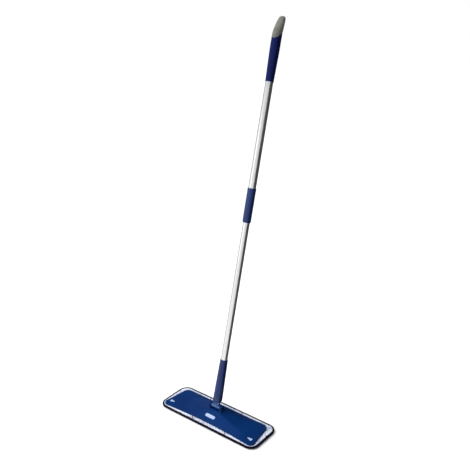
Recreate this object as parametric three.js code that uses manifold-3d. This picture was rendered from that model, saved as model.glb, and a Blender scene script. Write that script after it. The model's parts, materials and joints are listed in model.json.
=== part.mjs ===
// Flat mop: a telescopic aluminium pole with a slanted end cap, a two-axis joint, and a wide
// head that carries a hook-and-loop microfibre pad. Millimetres, +Z up. The origin is the
// centre of the pad's underside; +X runs along the head and the pole leans back towards +Y.
import * as THREE from 'three';
import { mergeVertices } from 'three/addons/utils/BufferGeometryUtils.js';
import Module from 'manifold-3d';

const wasm = await Module();
wasm.setup();

// ---------------------------------------------------------------- driving dimensions
const GAP = 0.3;                 // clearance between touching pieces

// Pad, standing on the floor
const PAD_LENGTH = 406;
const PAD_WIDTH = 141;
const PAD_CORNER = 32;
const BINDING_WIDTH = 5.5;
const BINDING_Z = [0.6, 9.6];
const PILE_Z = [0, 5.2];
const CORE_Z = [5.5, 7.3];
const BACKING_Z = [7.6, 8.6];

// Head: a cover over a plate, wider at its front edge than at its back edge
const HEAD_FRONT_HALF = 190;
const HEAD_BACK_HALF = 179;
const HEAD_FRONT_Y = [-52, -61];  // at the middle and at the corners
const HEAD_BACK_Y = [51, 52.5];
const HEAD_FRONT_CORNER = 18;
const HEAD_BACK_CORNER = 24;
const HEAD_BOTTOM_Z = 9.6;
const PLATE_TOP_Z = 11.6;
const EDGE_TOP_Z = 14;
const COVER_WALL = 2;
const ROOF_RISE = 22;             // height of the middle above the edges
const ROOF_HALF = [22, 14];       // half size of the level middle
const CREASE_END = [190, 42, 35]; // x, then y in front and behind, where the creases run out
const ROOF_POWER = 1.25;
const BOSS_X = [34, 85, 140];
const BOSS_Y = -3;
const BOSS_RADIUS = 4;
const PLATE_SCREW = { hole: 1.8, top: 17.2, seat: 3.6, seatTop: 10.9, face: 9.75 };
const STRIP_SIZE = [340, 24];
const STRIP_CORNER = 4;
const STRIP_SUNK = 0.5;           // how far the hook strips reach into the plate
const STRIP_Y = [-34, 30];
const LABEL_SIZE = [40, 12];
const LABEL_Y = -34;
const CORNER_MARK = [[154, -37.5], [176, -31], [176, -44]];
const INLAY_DEPTH = 0.8;
const INLAY_PROUD = 0.15;

// Two-axis joint
const TILT_Z = 45.5;              // height of the tilt axis, which lies along X
const LEAN = THREE.MathUtils.degToRad(14.8);
const EAR_X = [17.7, 26.5];
const EAR_RADIUS = 9.5;
const EAR_FOOT = [13.5, 31];       // half depth of the ear where it starts, and that height
const PIN_RADIUS = 2.5;
const PIN_CAP_RADIUS = 4.7;
const PIN_CAP_THICKNESS = 1.4;
const BARREL_RADIUS = 8;
const SWING_AT = 29.5;            // from the tilt axis to the swing axis
const TONGUE_RADIUS = 9.5;
const TONGUE_HALF = 4.5;
const TONGUE_FOOT = [[14, -3], [13, 6], [9.5, 20]]; // [half width, height] down to its neck
const WASHER = [3.4, 8, 0.9];     // inner radius, outer radius, thickness
const FORK_SLOT_HALF = 6;
const FORK_SLOT_TOP = 41;
const RIVET_RADIUS = 3;
const RIVET_BORE = 2.2;
const RIVET_HEAD_RADIUS = 4.9;
const RIVET_HEAD_THICKNESS = 0.9;
const RIVET_HALF = 13.8;
const RIVET_SEAT_AT = 12.6;

// Pole, measured along its axis from the tilt axis
const SOCKET_RADIUS = 15.4;
const SOCKET_TOP = 165;
const SOCKET_TOP_RADIUS = 12.9;
const SOCKET_BLIND = [9, 54, 95];  // radius and ends of the hollow below the tube's seat
const SOCKET_SCREW = { at: 125, hole: 1.8, seat: 3.7, floor: 12.3, face: 14 };
const LOWER_TUBE = { r: 11, bore: 10, from: 95.3, to: 860 };
const UPPER_TUBE = { r: 12.5, bore: 11.4, from: 661, to: 1188 };
const COLLAR = { r: 14.1, lip: 14.5, bore: 12.8, from: 629, to: 741 };
const WIPER = { r: 12.4, from: 633.2, to: 637.2 };
const COLLET = { r: 12.4, from: 637.5, to: 660.7 };
const COLLET_SLOT = { width: 1.2, left: 7 }; // the fingers' slots stop this far below the top
const BUSH = { plug: 26, lead: 2, head: 12, end: 14, taper: 1.5 };
const SHOULDER = 3.9;             // thickness of the collar's mouth
const GRIP = { r: 15.7, foot: 13.5, bore: 12.8, from: 1076, length: 170 };
const RIM_AT = 1221.5;            // where the grip meets the cap, on the pole's axis
const RIM_SLOPE = THREE.MathUtils.degToRad(42.9);
const CAP_PLUG = { from: 1168, r: 10, lead: 2, seat: 1212, top: 1224, topRadius: 11 };

const SCREW = { head: 3.2, shank: 1.5, tip: 0.6, cross: 0.35, arm: 2 };
const SCREW_SEGMENTS = 10;
const FAR = 90;                     // longer than any piece that a tool has to pass through
const SEGMENTS = 30;                // round the pole and the larger round pieces
const FINE = 18;                    // round screws, pins and their holes

// ---------------------------------------------------------------- materials
function finish(color, roughness, metalness = 0) {
  return new THREE.MeshStandardMaterial({ color, roughness, metalness });
}

const NAVY = finish(0x08165a, 0.55);
const BLUE = finish(0x05326a, 0.5);
const SOCKET_BLUE = finish(0x1c3278, 0.45);
const GREY = finish(0x85857c, 0.75);
const ALUMINIUM = finish(0xd4d6d6, 0.32, 0.9);
const STEEL = finish(0xb8bcc2, 0.35, 0.9);
const NYLON = finish(0xe8e6de, 0.5);
const RUBBER = finish(0x16181c, 0.8);
const WHITE_INLAY = finish(0xc6d8f4, 0.45);
const LOOP_FABRIC = finish(0xdfe5ea, 0.95);
const BINDING_TAPE = finish(0x0c0a1e, 0.9);
const FOAM = finish(0xd9d4c6, 0.95);
const MICROFIBRE = finish(0x2b4f9a, 1);
const HOOK_TAPE = finish(0x1a1b20, 0.9);

// ---------------------------------------------------------------- geometry helpers
// A closed geometry with shared corners, no slivers and its faces pointing out.
function closed(geometry) {
  const plain = geometry.clone();
  plain.deleteAttribute('normal');
  plain.deleteAttribute('uv');
  const merged = mergeVertices(plain, 1e-4);
  const position = merged.getAttribute('position');
  const index = merged.getIndex().array;
  const kept = [];
  const [a, b, c] = [new THREE.Vector3(), new THREE.Vector3(), new THREE.Vector3()];
  let volume = 0;
  for (let i = 0; i < index.length; i += 3) {
    const [p, q, r] = [index[i], index[i + 1], index[i + 2]];
    if (p === q || q === r || r === p) continue;
    kept.push([p, q, r]);
    a.fromBufferAttribute(position, p);
    b.fromBufferAttribute(position, q);
    c.fromBufferAttribute(position, r);
    volume += a.dot(b.cross(c));
  }
  merged.setIndex(kept.flatMap(([p, q, r]) => (volume > 0 ? [p, q, r] : [p, r, q])));
  return merged;
}

function solid(geometry) {
  const mesh = closed(geometry);
  return new wasm.Manifold(new wasm.Mesh({
    numProp: 3,
    vertProperties: new Float32Array(mesh.getAttribute('position').array),
    triVerts: new Uint32Array(mesh.getIndex().array),
  }));
}

function geometryOf(shape) {
  const mesh = shape.getMesh();
  const geometry = new THREE.BufferGeometry();
  geometry.setAttribute('position', new THREE.BufferAttribute(mesh.vertProperties, 3));
  geometry.setIndex(new THREE.BufferAttribute(mesh.triVerts, 1));
  return geometry;
}

function cut(shape, ...tools) {
  return tools.reduce((left, tool) => left.subtract(tool), shape);
}

function join(...shapes) {
  return shapes.reduce((sum, shape) => sum.add(shape));
}

// Turned about +Z from [radius, height] points, which close on themselves or on the axis.
function turned(points, segments = SEGMENTS) {
  const profile = points.map(([r, z]) => new THREE.Vector2(r, z));
  const onAxis = points[0][0] === 0 && points[points.length - 1][0] === 0;
  if (!onAxis) profile.push(profile[0].clone());
  return new THREE.LatheGeometry(profile, segments).rotateX(Math.PI / 2);
}

function tube(r, bore, from, to, segments = SEGMENTS) {
  return turned([[bore, from], [r, from], [r, to], [bore, to]], segments);
}

function rod(r, from, to, segments = SEGMENTS) {
  return turned([[0, from], [r, from], [r, to], [0, to]], segments);
}

// Turns a geometry made about +Z to lie about +X or about +Y.
function alongX(geometry) {
  return geometry.rotateY(Math.PI / 2);
}

function alongY(geometry) {
  return geometry.rotateX(-Math.PI / 2);
}

function block(x, y, z) {
  const geometry = new THREE.BoxGeometry(x[1] - x[0], y[1] - y[0], z[1] - z[0]);
  return geometry.translate((x[0] + x[1]) / 2, (y[0] + y[1]) / 2, (z[0] + z[1]) / 2);
}

function slab(shape, from, to, curveSegments = 4) {
  const settings = { depth: to - from, bevelEnabled: false, curveSegments };
  return new THREE.ExtrudeGeometry(shape, settings).translate(0, 0, from);
}

// Skins closed rings of points, all of one count, and closes both ends.
function loft(rings) {
  const count = rings[0].length;
  const position = rings.flat().flatMap((p) => [p.x, p.y, p.z]);
  const index = [];
  for (let ring = 0; ring + 1 < rings.length; ring += 1) {
    for (let i = 0; i < count; i += 1) {
      const [a, b] = [ring * count + i, ring * count + ((i + 1) % count)];
      index.push(a, b, b + count, a, b + count, a + count);
    }
  }
  const last = (rings.length - 1) * count;
  for (let i = 1; i + 1 < count; i += 1) {
    index.push(0, i + 1, i, last, last + i, last + i + 1);
  }
  const geometry = new THREE.BufferGeometry();
  geometry.setAttribute('position', new THREE.Float32BufferAttribute(position, 3));
  geometry.setIndex(index);
  return geometry;
}

function roundedRectangle(length, width, corner) {
  const [x, y] = [length / 2, width / 2];
  const shape = new THREE.Shape();
  shape.moveTo(-x + corner, -y);
  shape.absarc(x - corner, -y + corner, corner, -Math.PI / 2, 0);
  shape.absarc(x - corner, y - corner, corner, 0, Math.PI / 2);
  shape.absarc(-x + corner, y - corner, corner, Math.PI / 2, Math.PI);
  shape.absarc(-x + corner, -y + corner, corner, Math.PI, Math.PI * 1.5);
  return shape;
}

// ---------------------------------------------------------------- scene graph
const mop = new THREE.Group();
const pole = new THREE.Group();
pole.position.z = TILT_Z;
pole.rotation.x = -LEAN;
mop.add(pole);

function place(parent, name, shape, material) {
  const geometry = shape.isBufferGeometry ? closed(shape) : geometryOf(shape);
  const mesh = new THREE.Mesh(geometry, material);
  mesh.name = name;
  parent.add(mesh);
  return mesh;
}

// ---------------------------------------------------------------- pad
function padOutline(inset) {
  return roundedRectangle(PAD_LENGTH - 2 * inset, PAD_WIDTH - 2 * inset, PAD_CORNER - inset);
}

function addPad() {
  const ring = padOutline(0);
  ring.holes.push(padOutline(BINDING_WIDTH));
  place(mop, 'pad_binding', slab(ring, ...BINDING_Z), BINDING_TAPE);
  const layer = padOutline(BINDING_WIDTH + GAP);
  place(mop, 'pad_pile', slab(layer, ...PILE_Z), MICROFIBRE);
  place(mop, 'pad_core', slab(layer, ...CORE_Z), FOAM);
  place(mop, 'pad_backing', slab(layer, ...BACKING_Z), LOOP_FABRIC);
}

// ---------------------------------------------------------------- head
// Both long edges bow in at the middle, and the ends slope in towards the back.
function headOutline(inset) {
  const front = HEAD_FRONT_Y.map((y) => y + inset);
  const back = HEAD_BACK_Y.map((y) => y - inset);
  const [xf, xb] = [HEAD_FRONT_HALF - inset, HEAD_BACK_HALF - inset];
  const [rf, rb] = [HEAD_FRONT_CORNER - inset, HEAD_BACK_CORNER - inset];
  const shape = new THREE.Shape();
  shape.moveTo(-xf + rf, front[1]);
  shape.quadraticCurveTo(0, 2 * front[0] - front[1], xf - rf, front[1]);
  shape.quadraticCurveTo(xf, front[1], xf, front[1] + rf);
  shape.lineTo(xb, back[1] - rb);
  shape.quadraticCurveTo(xb, back[1], xb - rb, back[1]);
  shape.quadraticCurveTo(0, 2 * back[0] - back[1], -xb + rb, back[1]);
  shape.quadraticCurveTo(-xb, back[1], -xb, back[1] - rb);
  shape.lineTo(-xf, front[1] + rf);
  shape.quadraticCurveTo(-xf, front[1], -xf + rf, front[1]);
  return shape;
}

// Cross-section stations of the roof at x: [y, height above the edge] from front to back.
function roofSection(x) {
  const away = Math.abs(x) - ROOF_HALF[0];
  const along = THREE.MathUtils.clamp(away / (CREASE_END[0] - ROOF_HALF[0]), 0, 1);
  const rise = ROOF_RISE * (1 - along) ** ROOF_POWER;
  const bow = (x / (HEAD_FRONT_HALF - HEAD_FRONT_CORNER)) ** 2;
  const front = HEAD_FRONT_Y[0] + (HEAD_FRONT_Y[1] - HEAD_FRONT_Y[0]) * Math.min(bow, 1);
  const back = HEAD_BACK_Y[0] + (HEAD_BACK_Y[1] - HEAD_BACK_Y[0]) * Math.min(bow, 1);
  const creaseFront = -THREE.MathUtils.lerp(ROOF_HALF[1], CREASE_END[1], along);
  const creaseBack = THREE.MathUtils.lerp(ROOF_HALF[1], CREASE_END[2], along);
  return [[-FAR, 0], [front, 0], [creaseFront, rise], [creaseBack, rise], [back, 0], [FAR, 0]];
}

// The solid below the roof's surface, lowered by drop.
function underRoof(drop) {
  const half = [0.001, 0.1, 0.25, 0.45, 0.7, 1].map(
    (u) => THREE.MathUtils.lerp(ROOF_HALF[0], CREASE_END[0], u),
  );
  const stations = [-210, ...half.map((x) => -x).reverse(), 0, ...half, 210];
  const rings = stations.map((x) => {
    const top = roofSection(x).map(
      ([y, rise]) => new THREE.Vector3(x, y, EDGE_TOP_Z + rise - drop),
    );
    return [new THREE.Vector3(x, -FAR, -5), ...top, new THREE.Vector3(x, FAR, -5)];
  });
  return solid(loft(rings));
}

// The roof's slope in front of its level middle, at x = 0
const FACET_RUN = -ROOF_HALF[1] - HEAD_FRONT_Y[0];
const FACET_SLOPE = Math.atan2(ROOF_RISE, FACET_RUN);
const LABEL_Z = EDGE_TOP_Z + ROOF_RISE * (LABEL_Y - HEAD_FRONT_Y[0]) / FACET_RUN;

function onLabelFacet(geometry) {
  return geometry.rotateX(FACET_SLOPE).translate(0, LABEL_Y, LABEL_Z);
}

function labelShape(inset) {
  const [length, width] = LABEL_SIZE.map((side) => side - 2 * inset);
  return roundedRectangle(length, width, width / 2 - 0.01);
}

function cornerMarkShape(side, inset) {
  const corners = CORNER_MARK.map(([x, y]) => new THREE.Vector2(side * x, y));
  const centre = new THREE.Vector2();
  corners.forEach((corner) => centre.addScaledVector(corner, 1 / 3));
  const grown = corners.map((corner) => {
    const arm = corner.clone().sub(centre);
    return centre.clone().addScaledVector(arm, 1 - 2 * inset / arm.length());
  });
  return new THREE.Shape(grown);
}

function ear(side) {
  const shape = new THREE.Shape();
  shape.moveTo(-EAR_FOOT[0], EAR_FOOT[1] - TILT_Z);
  shape.lineTo(EAR_FOOT[0], EAR_FOOT[1] - TILT_Z);
  shape.lineTo(EAR_RADIUS, -2);
  shape.absarc(0, 0, EAR_RADIUS, 0, Math.PI);
  shape.lineTo(-EAR_RADIUS, -2);
  const axes = new THREE.Matrix4().makeBasis(
    new THREE.Vector3(0, 1, 0), new THREE.Vector3(0, 0, 1), new THREE.Vector3(1, 0, 0),
  );
  const geometry = slab(shape, 0, EAR_X[1] - EAR_X[0], 8).applyMatrix4(axes);
  return solid(geometry.translate(side > 0 ? EAR_X[0] : -EAR_X[1], 0, TILT_Z));
}

function bossPositions() {
  return BOSS_X.flatMap((x) => [[-x, BOSS_Y], [x, BOSS_Y]]);
}

function addCover() {
  const outside = solid(slab(headOutline(0), HEAD_BOTTOM_Z, FAR)).intersect(underRoof(0));
  const inside = solid(slab(headOutline(COVER_WALL), 0, FAR)).intersect(underRoof(COVER_WALL));
  let cover = join(outside.subtract(inside), ear(-1), ear(1));
  const top = underRoof(1);
  for (const [x, y] of bossPositions()) {
    const boss = solid(rod(BOSS_RADIUS, PLATE_TOP_Z + GAP, FAR, 12).translate(x, y, 0));
    cover = cover.add(boss.intersect(top));
    cover = cut(cover, solid(rod(PLATE_SCREW.hole, 0, PLATE_SCREW.top, SCREW_SEGMENTS).translate(x, y, 0)));
  }
  const bore = solid(alongX(rod(PIN_RADIUS + GAP, -FAR, FAR, FINE)).translate(0, 0, TILT_Z));
  const capSeat = [-1, 1].map((side) => {
    const seat = alongX(rod(PIN_CAP_RADIUS + GAP, 0, 10, FINE));
    const inner = EAR_X[1] - PIN_CAP_THICKNESS - 2 * GAP;
    return solid(seat.translate(side > 0 ? inner : -inner - 10, 0, TILT_Z));
  });
  const labelSeat = solid(onLabelFacet(slab(labelShape(0), -INLAY_DEPTH - GAP, 6)));
  const markFloor = underRoof(INLAY_DEPTH + GAP);
  const markSeats = [-1, 1].map(
    (side) => solid(slab(cornerMarkShape(side, 0), 0, FAR)).subtract(markFloor),
  );
  place(mop, 'base_cover', cut(cover, bore, ...capSeat, labelSeat, ...markSeats), BLUE);
}

function addInlays() {
  const label = slab(labelShape(GAP), -INLAY_DEPTH, INLAY_PROUD);
  place(mop, 'label_plate', onLabelFacet(label), WHITE_INLAY);
  const shell = underRoof(-INLAY_PROUD).subtract(underRoof(INLAY_DEPTH));
  for (const [name, side] of [['corner_inlay_left', -1], ['corner_inlay_right', 1]]) {
    const mark = solid(slab(cornerMarkShape(side, GAP), 0, FAR));
    place(mop, name, mark.intersect(shell), WHITE_INLAY);
  }
}

function addPlate() {
  let plate = solid(slab(headOutline(COVER_WALL + GAP), HEAD_BOTTOM_Z, PLATE_TOP_Z));
  const [length, width] = STRIP_SIZE;
  STRIP_Y.forEach((y, i) => {
    const seat = roundedRectangle(length + 2 * GAP, width + 2 * GAP, STRIP_CORNER);
    const seatTop = HEAD_BOTTOM_Z + STRIP_SUNK + GAP;
    plate = plate.subtract(solid(slab(seat, 0, seatTop).translate(0, y, 0)));
    const outline = roundedRectangle(length, width, STRIP_CORNER);
    const strip = slab(outline, BACKING_Z[1] + GAP, HEAD_BOTTOM_Z + STRIP_SUNK);
    place(mop, `hook_strip_${['front', 'back'][i]}`, strip.translate(0, y, 0), HOOK_TAPE);
  });
  for (const [x, y] of bossPositions()) {
    const { hole, seat, seatTop } = PLATE_SCREW;
    const well = turned([[0, 0], [seat, 0], [seat, seatTop], [hole, seatTop], [hole, 20], [0, 20]],
      SCREW_SEGMENTS);
    plate = plate.subtract(solid(well.translate(x, y, 0)));
  }
  place(mop, 'base_plate', plate, BLUE);
}

// Pan-head screw pointing up +Z from its head at z = 0, with a cross recess
function screw(headHeight, length) {
  const { head, shank, tip, cross, arm } = SCREW;
  const body = solid(turned([[0, 0], [head, 0], [head, headHeight],
    [shank, headHeight], [shank, length - 1], [tip, length], [0, length]], SCREW_SEGMENTS));
  return cut(
    body,
    solid(block([-arm, arm], [-cross, cross], [-1, headHeight * 0.6])),
    solid(block([-cross, cross], [-arm, arm], [-1, headHeight * 0.6])),
  );
}

function addPlateScrews() {
  bossPositions().forEach(([x, y], i) => {
    const mesh = place(mop, `plate_screw_${i + 1}`, screw(0.9, 7), STEEL);
    mesh.position.set(x, y, PLATE_SCREW.face);
  });
}

function addTiltPin() {
  const inner = EAR_X[1] - PIN_CAP_THICKNESS - 2 * GAP;
  const pin = alongX(rod(PIN_RADIUS, -inner, inner, FINE));
  place(mop, 'tilt_pin', pin.translate(0, 0, TILT_Z), STEEL);
  for (const [name, side] of [['pin_cap_left', -1], ['pin_cap_right', 1]]) {
    const cap = turned([[0, 0], [PIN_CAP_RADIUS, 0], [PIN_CAP_RADIUS, PIN_CAP_THICKNESS - 0.5],
      [PIN_CAP_RADIUS - 0.7, PIN_CAP_THICKNESS], [0, PIN_CAP_THICKNESS]], FINE);
    const mesh = place(mop, name, cap, BLUE);
    mesh.rotation.y = side * Math.PI / 2;
    mesh.position.set(side * (inner + GAP), 0, TILT_Z);
  }
}

// ---------------------------------------------------------------- joint, in the pole's frame
function addKnuckle() {
  const tongue = new THREE.Shape();
  const [foot, shoulder, neck] = TONGUE_FOOT;
  const bend = 2 * shoulder[1];
  tongue.moveTo(-foot[0], foot[1]);
  tongue.lineTo(...foot);
  tongue.lineTo(...shoulder);
  tongue.quadraticCurveTo(neck[0], bend, ...neck);
  tongue.absarc(0, SWING_AT, TONGUE_RADIUS, 0, Math.PI);
  tongue.lineTo(-neck[0], neck[1]);
  tongue.quadraticCurveTo(-neck[0], bend, -shoulder[0], shoulder[1]);
  const plate = slab(tongue, -TONGUE_HALF, TONGUE_HALF, 8).rotateX(Math.PI / 2);
  const barrel = alongX(rod(BARREL_RADIUS, -EAR_X[0] + GAP, EAR_X[0] - GAP));
  place(pole, 'knuckle', cut(
    join(solid(plate), solid(barrel)),
    solid(alongX(rod(PIN_RADIUS + GAP, -FAR, FAR, FINE))),
    solid(alongY(rod(RIVET_RADIUS + GAP, -FAR, FAR, FINE)).translate(0, 0, SWING_AT)),
  ), SOCKET_BLUE);
  const [inner, outer, thickness] = WASHER;
  for (const [name, side] of [['swing_washer_front', -1], ['swing_washer_back', 1]]) {
    const start = side > 0 ? TONGUE_HALF + GAP : -TONGUE_HALF - GAP - thickness;
    const washer = alongY(tube(outer, inner, start, start + thickness, FINE));
    place(pole, name, washer.translate(0, 0, SWING_AT), NYLON);
  }
}

function addSwingRivet() {
  const [r, head, end] = [RIVET_RADIUS, RIVET_HEAD_RADIUS, RIVET_HALF];
  const under = end - RIVET_HEAD_THICKNESS;
  const rivet = turned([[RIVET_BORE, -end], [head, -end], [head, -under], [r, -under],
    [r, under], [head, under], [head, end], [RIVET_BORE, end]], FINE);
  place(pole, 'swing_rivet', alongY(rivet).translate(0, 0, SWING_AT), STEEL);
}

function addSocket() {
  const [r, top, seat] = [SOCKET_RADIUS, SOCKET_TOP_RADIUS, LOWER_TUBE.r + GAP];
  const [blind, blindFrom, blindTo] = SOCKET_BLIND;
  const sleeve = turned([[0, 13.5], [11.4, 13.5], [13.6, 14.8], [15, 17.6], [r, 21], [r, 45.6],
    [r - 0.7, 46.2], [r - 0.7, 47.6], [r - 0.1, 48.2], [top + 0.1, 154], [top, 158],
    [top - 0.6, SOCKET_TOP], [seat, SOCKET_TOP], [seat, blindTo], [blind, blindTo],
    [blind, blindFrom], [0, blindFrom]]);
  const arch = new THREE.Shape();
  arch.moveTo(-r - 1, SWING_AT);
  arch.absarc(0, SWING_AT, r + 0.1, Math.PI, 2 * Math.PI);
  arch.lineTo(r + 1, SOCKET_TOP + 1);
  arch.lineTo(-r - 1, SOCKET_TOP + 1);
  const rounded = solid(sleeve).intersect(solid(slab(arch, -20, 20, 9).rotateX(Math.PI / 2)));
  const half = FORK_SLOT_HALF;
  const across = (radius, from, to, height) => solid(
    alongY(rod(radius, from, to, FINE)).translate(0, 0, height),
  );
  place(pole, 'pole_socket', cut(
    rounded,
    solid(block([-20, 20], [-half, half], [0, FORK_SLOT_TOP])),
    across(RIVET_RADIUS + GAP, -20, 20, SWING_AT),
    across(RIVET_HEAD_RADIUS + GAP, RIVET_SEAT_AT, 20, SWING_AT),
    across(RIVET_HEAD_RADIUS + GAP, -20, -RIVET_SEAT_AT, SWING_AT),
    across(SOCKET_SCREW.seat, SOCKET_SCREW.floor, 20, SOCKET_SCREW.at),
    across(SOCKET_SCREW.hole, 5, 20, SOCKET_SCREW.at),
  ), SOCKET_BLUE);
}

// ---------------------------------------------------------------- pole
function addLowerTube() {
  const { r, bore, from, to } = LOWER_TUBE;
  const screwHole = alongY(rod(SOCKET_SCREW.hole, 5, 20, FINE)).translate(0, 0, SOCKET_SCREW.at);
  place(pole, 'lower_tube', cut(solid(tube(r, bore, from, to)), solid(screwHole)), ALUMINIUM);
  const mesh = place(pole, 'socket_screw', screw(1.4, 5.2), STEEL);
  mesh.rotation.x = Math.PI / 2;
  mesh.position.set(0, SOCKET_SCREW.face, SOCKET_SCREW.at);
  const [plug, head, start] = [bore - GAP, UPPER_TUBE.bore - GAP, to - BUSH.plug];
  const bush = turned([[0, start], [plug - 1, start], [plug, start + BUSH.lead],
    [plug, to + GAP], [head, to + GAP], [head, to + BUSH.head],
    [head - BUSH.taper, to + BUSH.end], [0, to + BUSH.end]], FINE);
  place(pole, 'inner_bush', bush, NYLON);
}

function addCollar() {
  const { r, lip, bore, from, to } = COLLAR;
  const mouth = LOWER_TUBE.r + GAP;
  place(pole, 'lock_collar', turned([[mouth, from], [12.2, from], [13.2, from + 1.6],
    [13.9, from + 5], [r, from + 11], [r - 0.2, to - 7], [lip, to - 4], [lip, to - 1.2],
    [lip - 0.8, to], [bore, to], [bore, from + SHOULDER], [mouth, from + SHOULDER]]), SOCKET_BLUE);
  place(pole, 'wiper_ring', tube(WIPER.r, mouth, WIPER.from, WIPER.to), RUBBER);
  const slots = [0, Math.PI / 2].map((angle) => {
    const half = COLLET_SLOT.width / 2;
    const slot = block([-20, 20], [-half, half], [COLLET.from - 1, COLLET.to - COLLET_SLOT.left]);
    return solid(slot.rotateZ(angle + Math.PI / 4));
  });
  const sleeve = solid(tube(COLLET.r, mouth, COLLET.from, COLLET.to));
  place(pole, 'collet', cut(sleeve, ...slots), NYLON);
}

function aboveRim(lift) {
  const half = block([-FAR, FAR], [-FAR, FAR], [0, FAR]);
  return solid(half.rotateX(RIM_SLOPE).translate(0, 0, RIM_AT + lift));
}

function addHandle() {
  const { r, bore, from, to } = UPPER_TUBE;
  place(pole, 'upper_tube', tube(r, bore, from, to), ALUMINIUM);
  const { foot, from: start } = GRIP;
  const end = start + GRIP.length;
  const sleeve = turned([[GRIP.bore, start], [foot - 0.4, start], [foot + 0.2, start + 1.5],
    [foot + 0.1, start + 8], [foot + 0.4, start + 20], [GRIP.r - 0.3, start + 100],
    [GRIP.r, start + 130], [GRIP.r, end], [GRIP.bore, end]]);
  place(pole, 'handle_grip', solid(sleeve).subtract(aboveRim(0)), NAVY);
}

// The cap sweeps back from the grip to a rounded tip, so its front makes a slanted palm face.
// Each section is [height along the pole, centre towards +Y, half width, half depth].
const CAP_SECTIONS = [
  [1190, 0, 15.6, 15.6],
  [1218, 0, 15.6, 15.6],
  [1228, 1.2, 15.6, 15],
  [1237, 3.2, 15.4, 13.9],
  [1247, 5.8, 15, 12.2],
  [1257, 8.6, 14.2, 10.7],
  [1266, 11.6, 12.9, 9.3],
  [1272, 13.4, 11.3, 8],
  [1276.5, 14.4, 8.8, 6.4],
  [1279, 15, 4.4, 3.2],
];

function addEndCap() {
  const angles = Array.from({ length: SEGMENTS }, (_, i) => 2 * Math.PI * i / SEGMENTS);
  const rings = CAP_SECTIONS.map(([height, centre, width, depth]) => angles.map(
    (a) => new THREE.Vector3(width * Math.cos(a), centre + depth * Math.sin(a), height),
  ));
  const crown = solid(loft(rings)).intersect(aboveRim(GAP));
  const { from, lead, seat, top } = CAP_PLUG;
  const [inTube, inGrip, step] = [UPPER_TUBE.bore - GAP, GRIP.bore - GAP, UPPER_TUBE.to + GAP];
  const plug = solid(turned([[0, from], [CAP_PLUG.r, from], [inTube, from + lead], [inTube, step],
    [inGrip, step], [inGrip, seat], [CAP_PLUG.topRadius, top], [0, top]]));
  place(pole, 'end_cap', crown.add(plug), GREY);
}

addPad();
addCover();
addInlays();
addPlate();
addPlateScrews();
addTiltPin();
addKnuckle();
addSwingRivet();
addSocket();
addLowerTube();
addCollar();
addHandle();
addEndCap();

export default mop;
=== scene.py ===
"""Flat mop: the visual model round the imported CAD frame. Metres, +Z up, pad on the floor at z = 0."""
import json
import math

import bmesh
import bpy
import numpy as np
from mathutils import Matrix, Vector
from mathutils.kdtree import KDTree


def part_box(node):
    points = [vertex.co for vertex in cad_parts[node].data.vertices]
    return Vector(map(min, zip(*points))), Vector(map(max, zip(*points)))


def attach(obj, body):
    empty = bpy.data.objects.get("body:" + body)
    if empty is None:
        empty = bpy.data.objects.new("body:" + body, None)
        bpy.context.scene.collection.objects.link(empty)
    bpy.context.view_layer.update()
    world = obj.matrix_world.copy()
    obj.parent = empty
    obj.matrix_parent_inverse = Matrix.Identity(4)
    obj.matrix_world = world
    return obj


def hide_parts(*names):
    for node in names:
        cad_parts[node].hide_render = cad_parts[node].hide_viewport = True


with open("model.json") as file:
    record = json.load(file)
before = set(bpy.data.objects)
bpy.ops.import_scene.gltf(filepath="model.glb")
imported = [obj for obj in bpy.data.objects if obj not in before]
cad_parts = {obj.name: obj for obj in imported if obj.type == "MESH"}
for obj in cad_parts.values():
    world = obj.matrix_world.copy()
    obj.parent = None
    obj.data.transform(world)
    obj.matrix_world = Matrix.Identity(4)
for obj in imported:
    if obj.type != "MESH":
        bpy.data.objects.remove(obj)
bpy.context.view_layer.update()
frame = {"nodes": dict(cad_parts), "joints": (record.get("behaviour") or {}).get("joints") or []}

MM = 0.001
GAP = 0.3                      # mm between touching pieces, as in the CAD


# ------------------------------------------------------------------ places, all from the frame
def joint(name):
    return next(j for j in frame["joints"] if j["name"] == name)


def low_high(node):
    """Lowest and highest corner of a CAD node in mm."""
    low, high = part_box(node)
    return np.array(low) / MM, np.array(high) / MM


POLE_AXIS = Vector(joint("telescope")["axis"]).normalized()
TILT_AXIS = Vector(joint("tilt")["axis"]).normalized()
TILT_POINT = Vector(joint("tilt")["pos_m"])
POLE_BACK = POLE_AXIS.cross(TILT_AXIS).normalized()
LEAN = math.atan2(POLE_AXIS.y, POLE_AXIS.z)


def pole_matrix():
    """From the pole's frame in mm (x across, y back, z along it from the tilt axis) to the row frame."""
    turn = Matrix((TILT_AXIS, POLE_BACK, POLE_AXIS)).transposed().to_4x4()
    return Matrix.Translation(TILT_POINT) @ turn @ Matrix.Scale(MM, 4)


POLE = pole_matrix()
HEAD = Matrix.Scale(MM, 4)
SWING_AT = (Vector(joint("swing")["pos_m"]) - TILT_POINT).length / MM
TILT_Z = TILT_POINT.z / MM


def pole_points(node):
    back = POLE.inverted()
    return np.array([back @ v.co for v in frame["nodes"][node].data.vertices])


def span(node):
    """Where a CAD node starts and ends along the pole, in mm from the tilt axis."""
    points = pole_points(node)
    return points[:, 2].min(), points[:, 2].max()


def radius(node):
    """The largest distance of a CAD node from the pole's axis, in mm."""
    points = pole_points(node)
    return float(np.hypot(points[:, 0], points[:, 1]).max())


# ------------------------------------------------------------------ mesh helpers
def mesh_object(name, vertices, faces, matrix=HEAD, smooth=True):
    """A linked mesh object with shared corners and outward faces, its place in its vertices."""
    data = bpy.data.meshes.new(name)
    data.from_pydata([tuple(v) for v in vertices], [], faces)
    data.transform(matrix)
    tidy(data)
    thing = bpy.data.objects.new(name, data)
    bpy.context.scene.collection.objects.link(thing)
    if smooth:
        shade(thing)
    return thing


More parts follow.
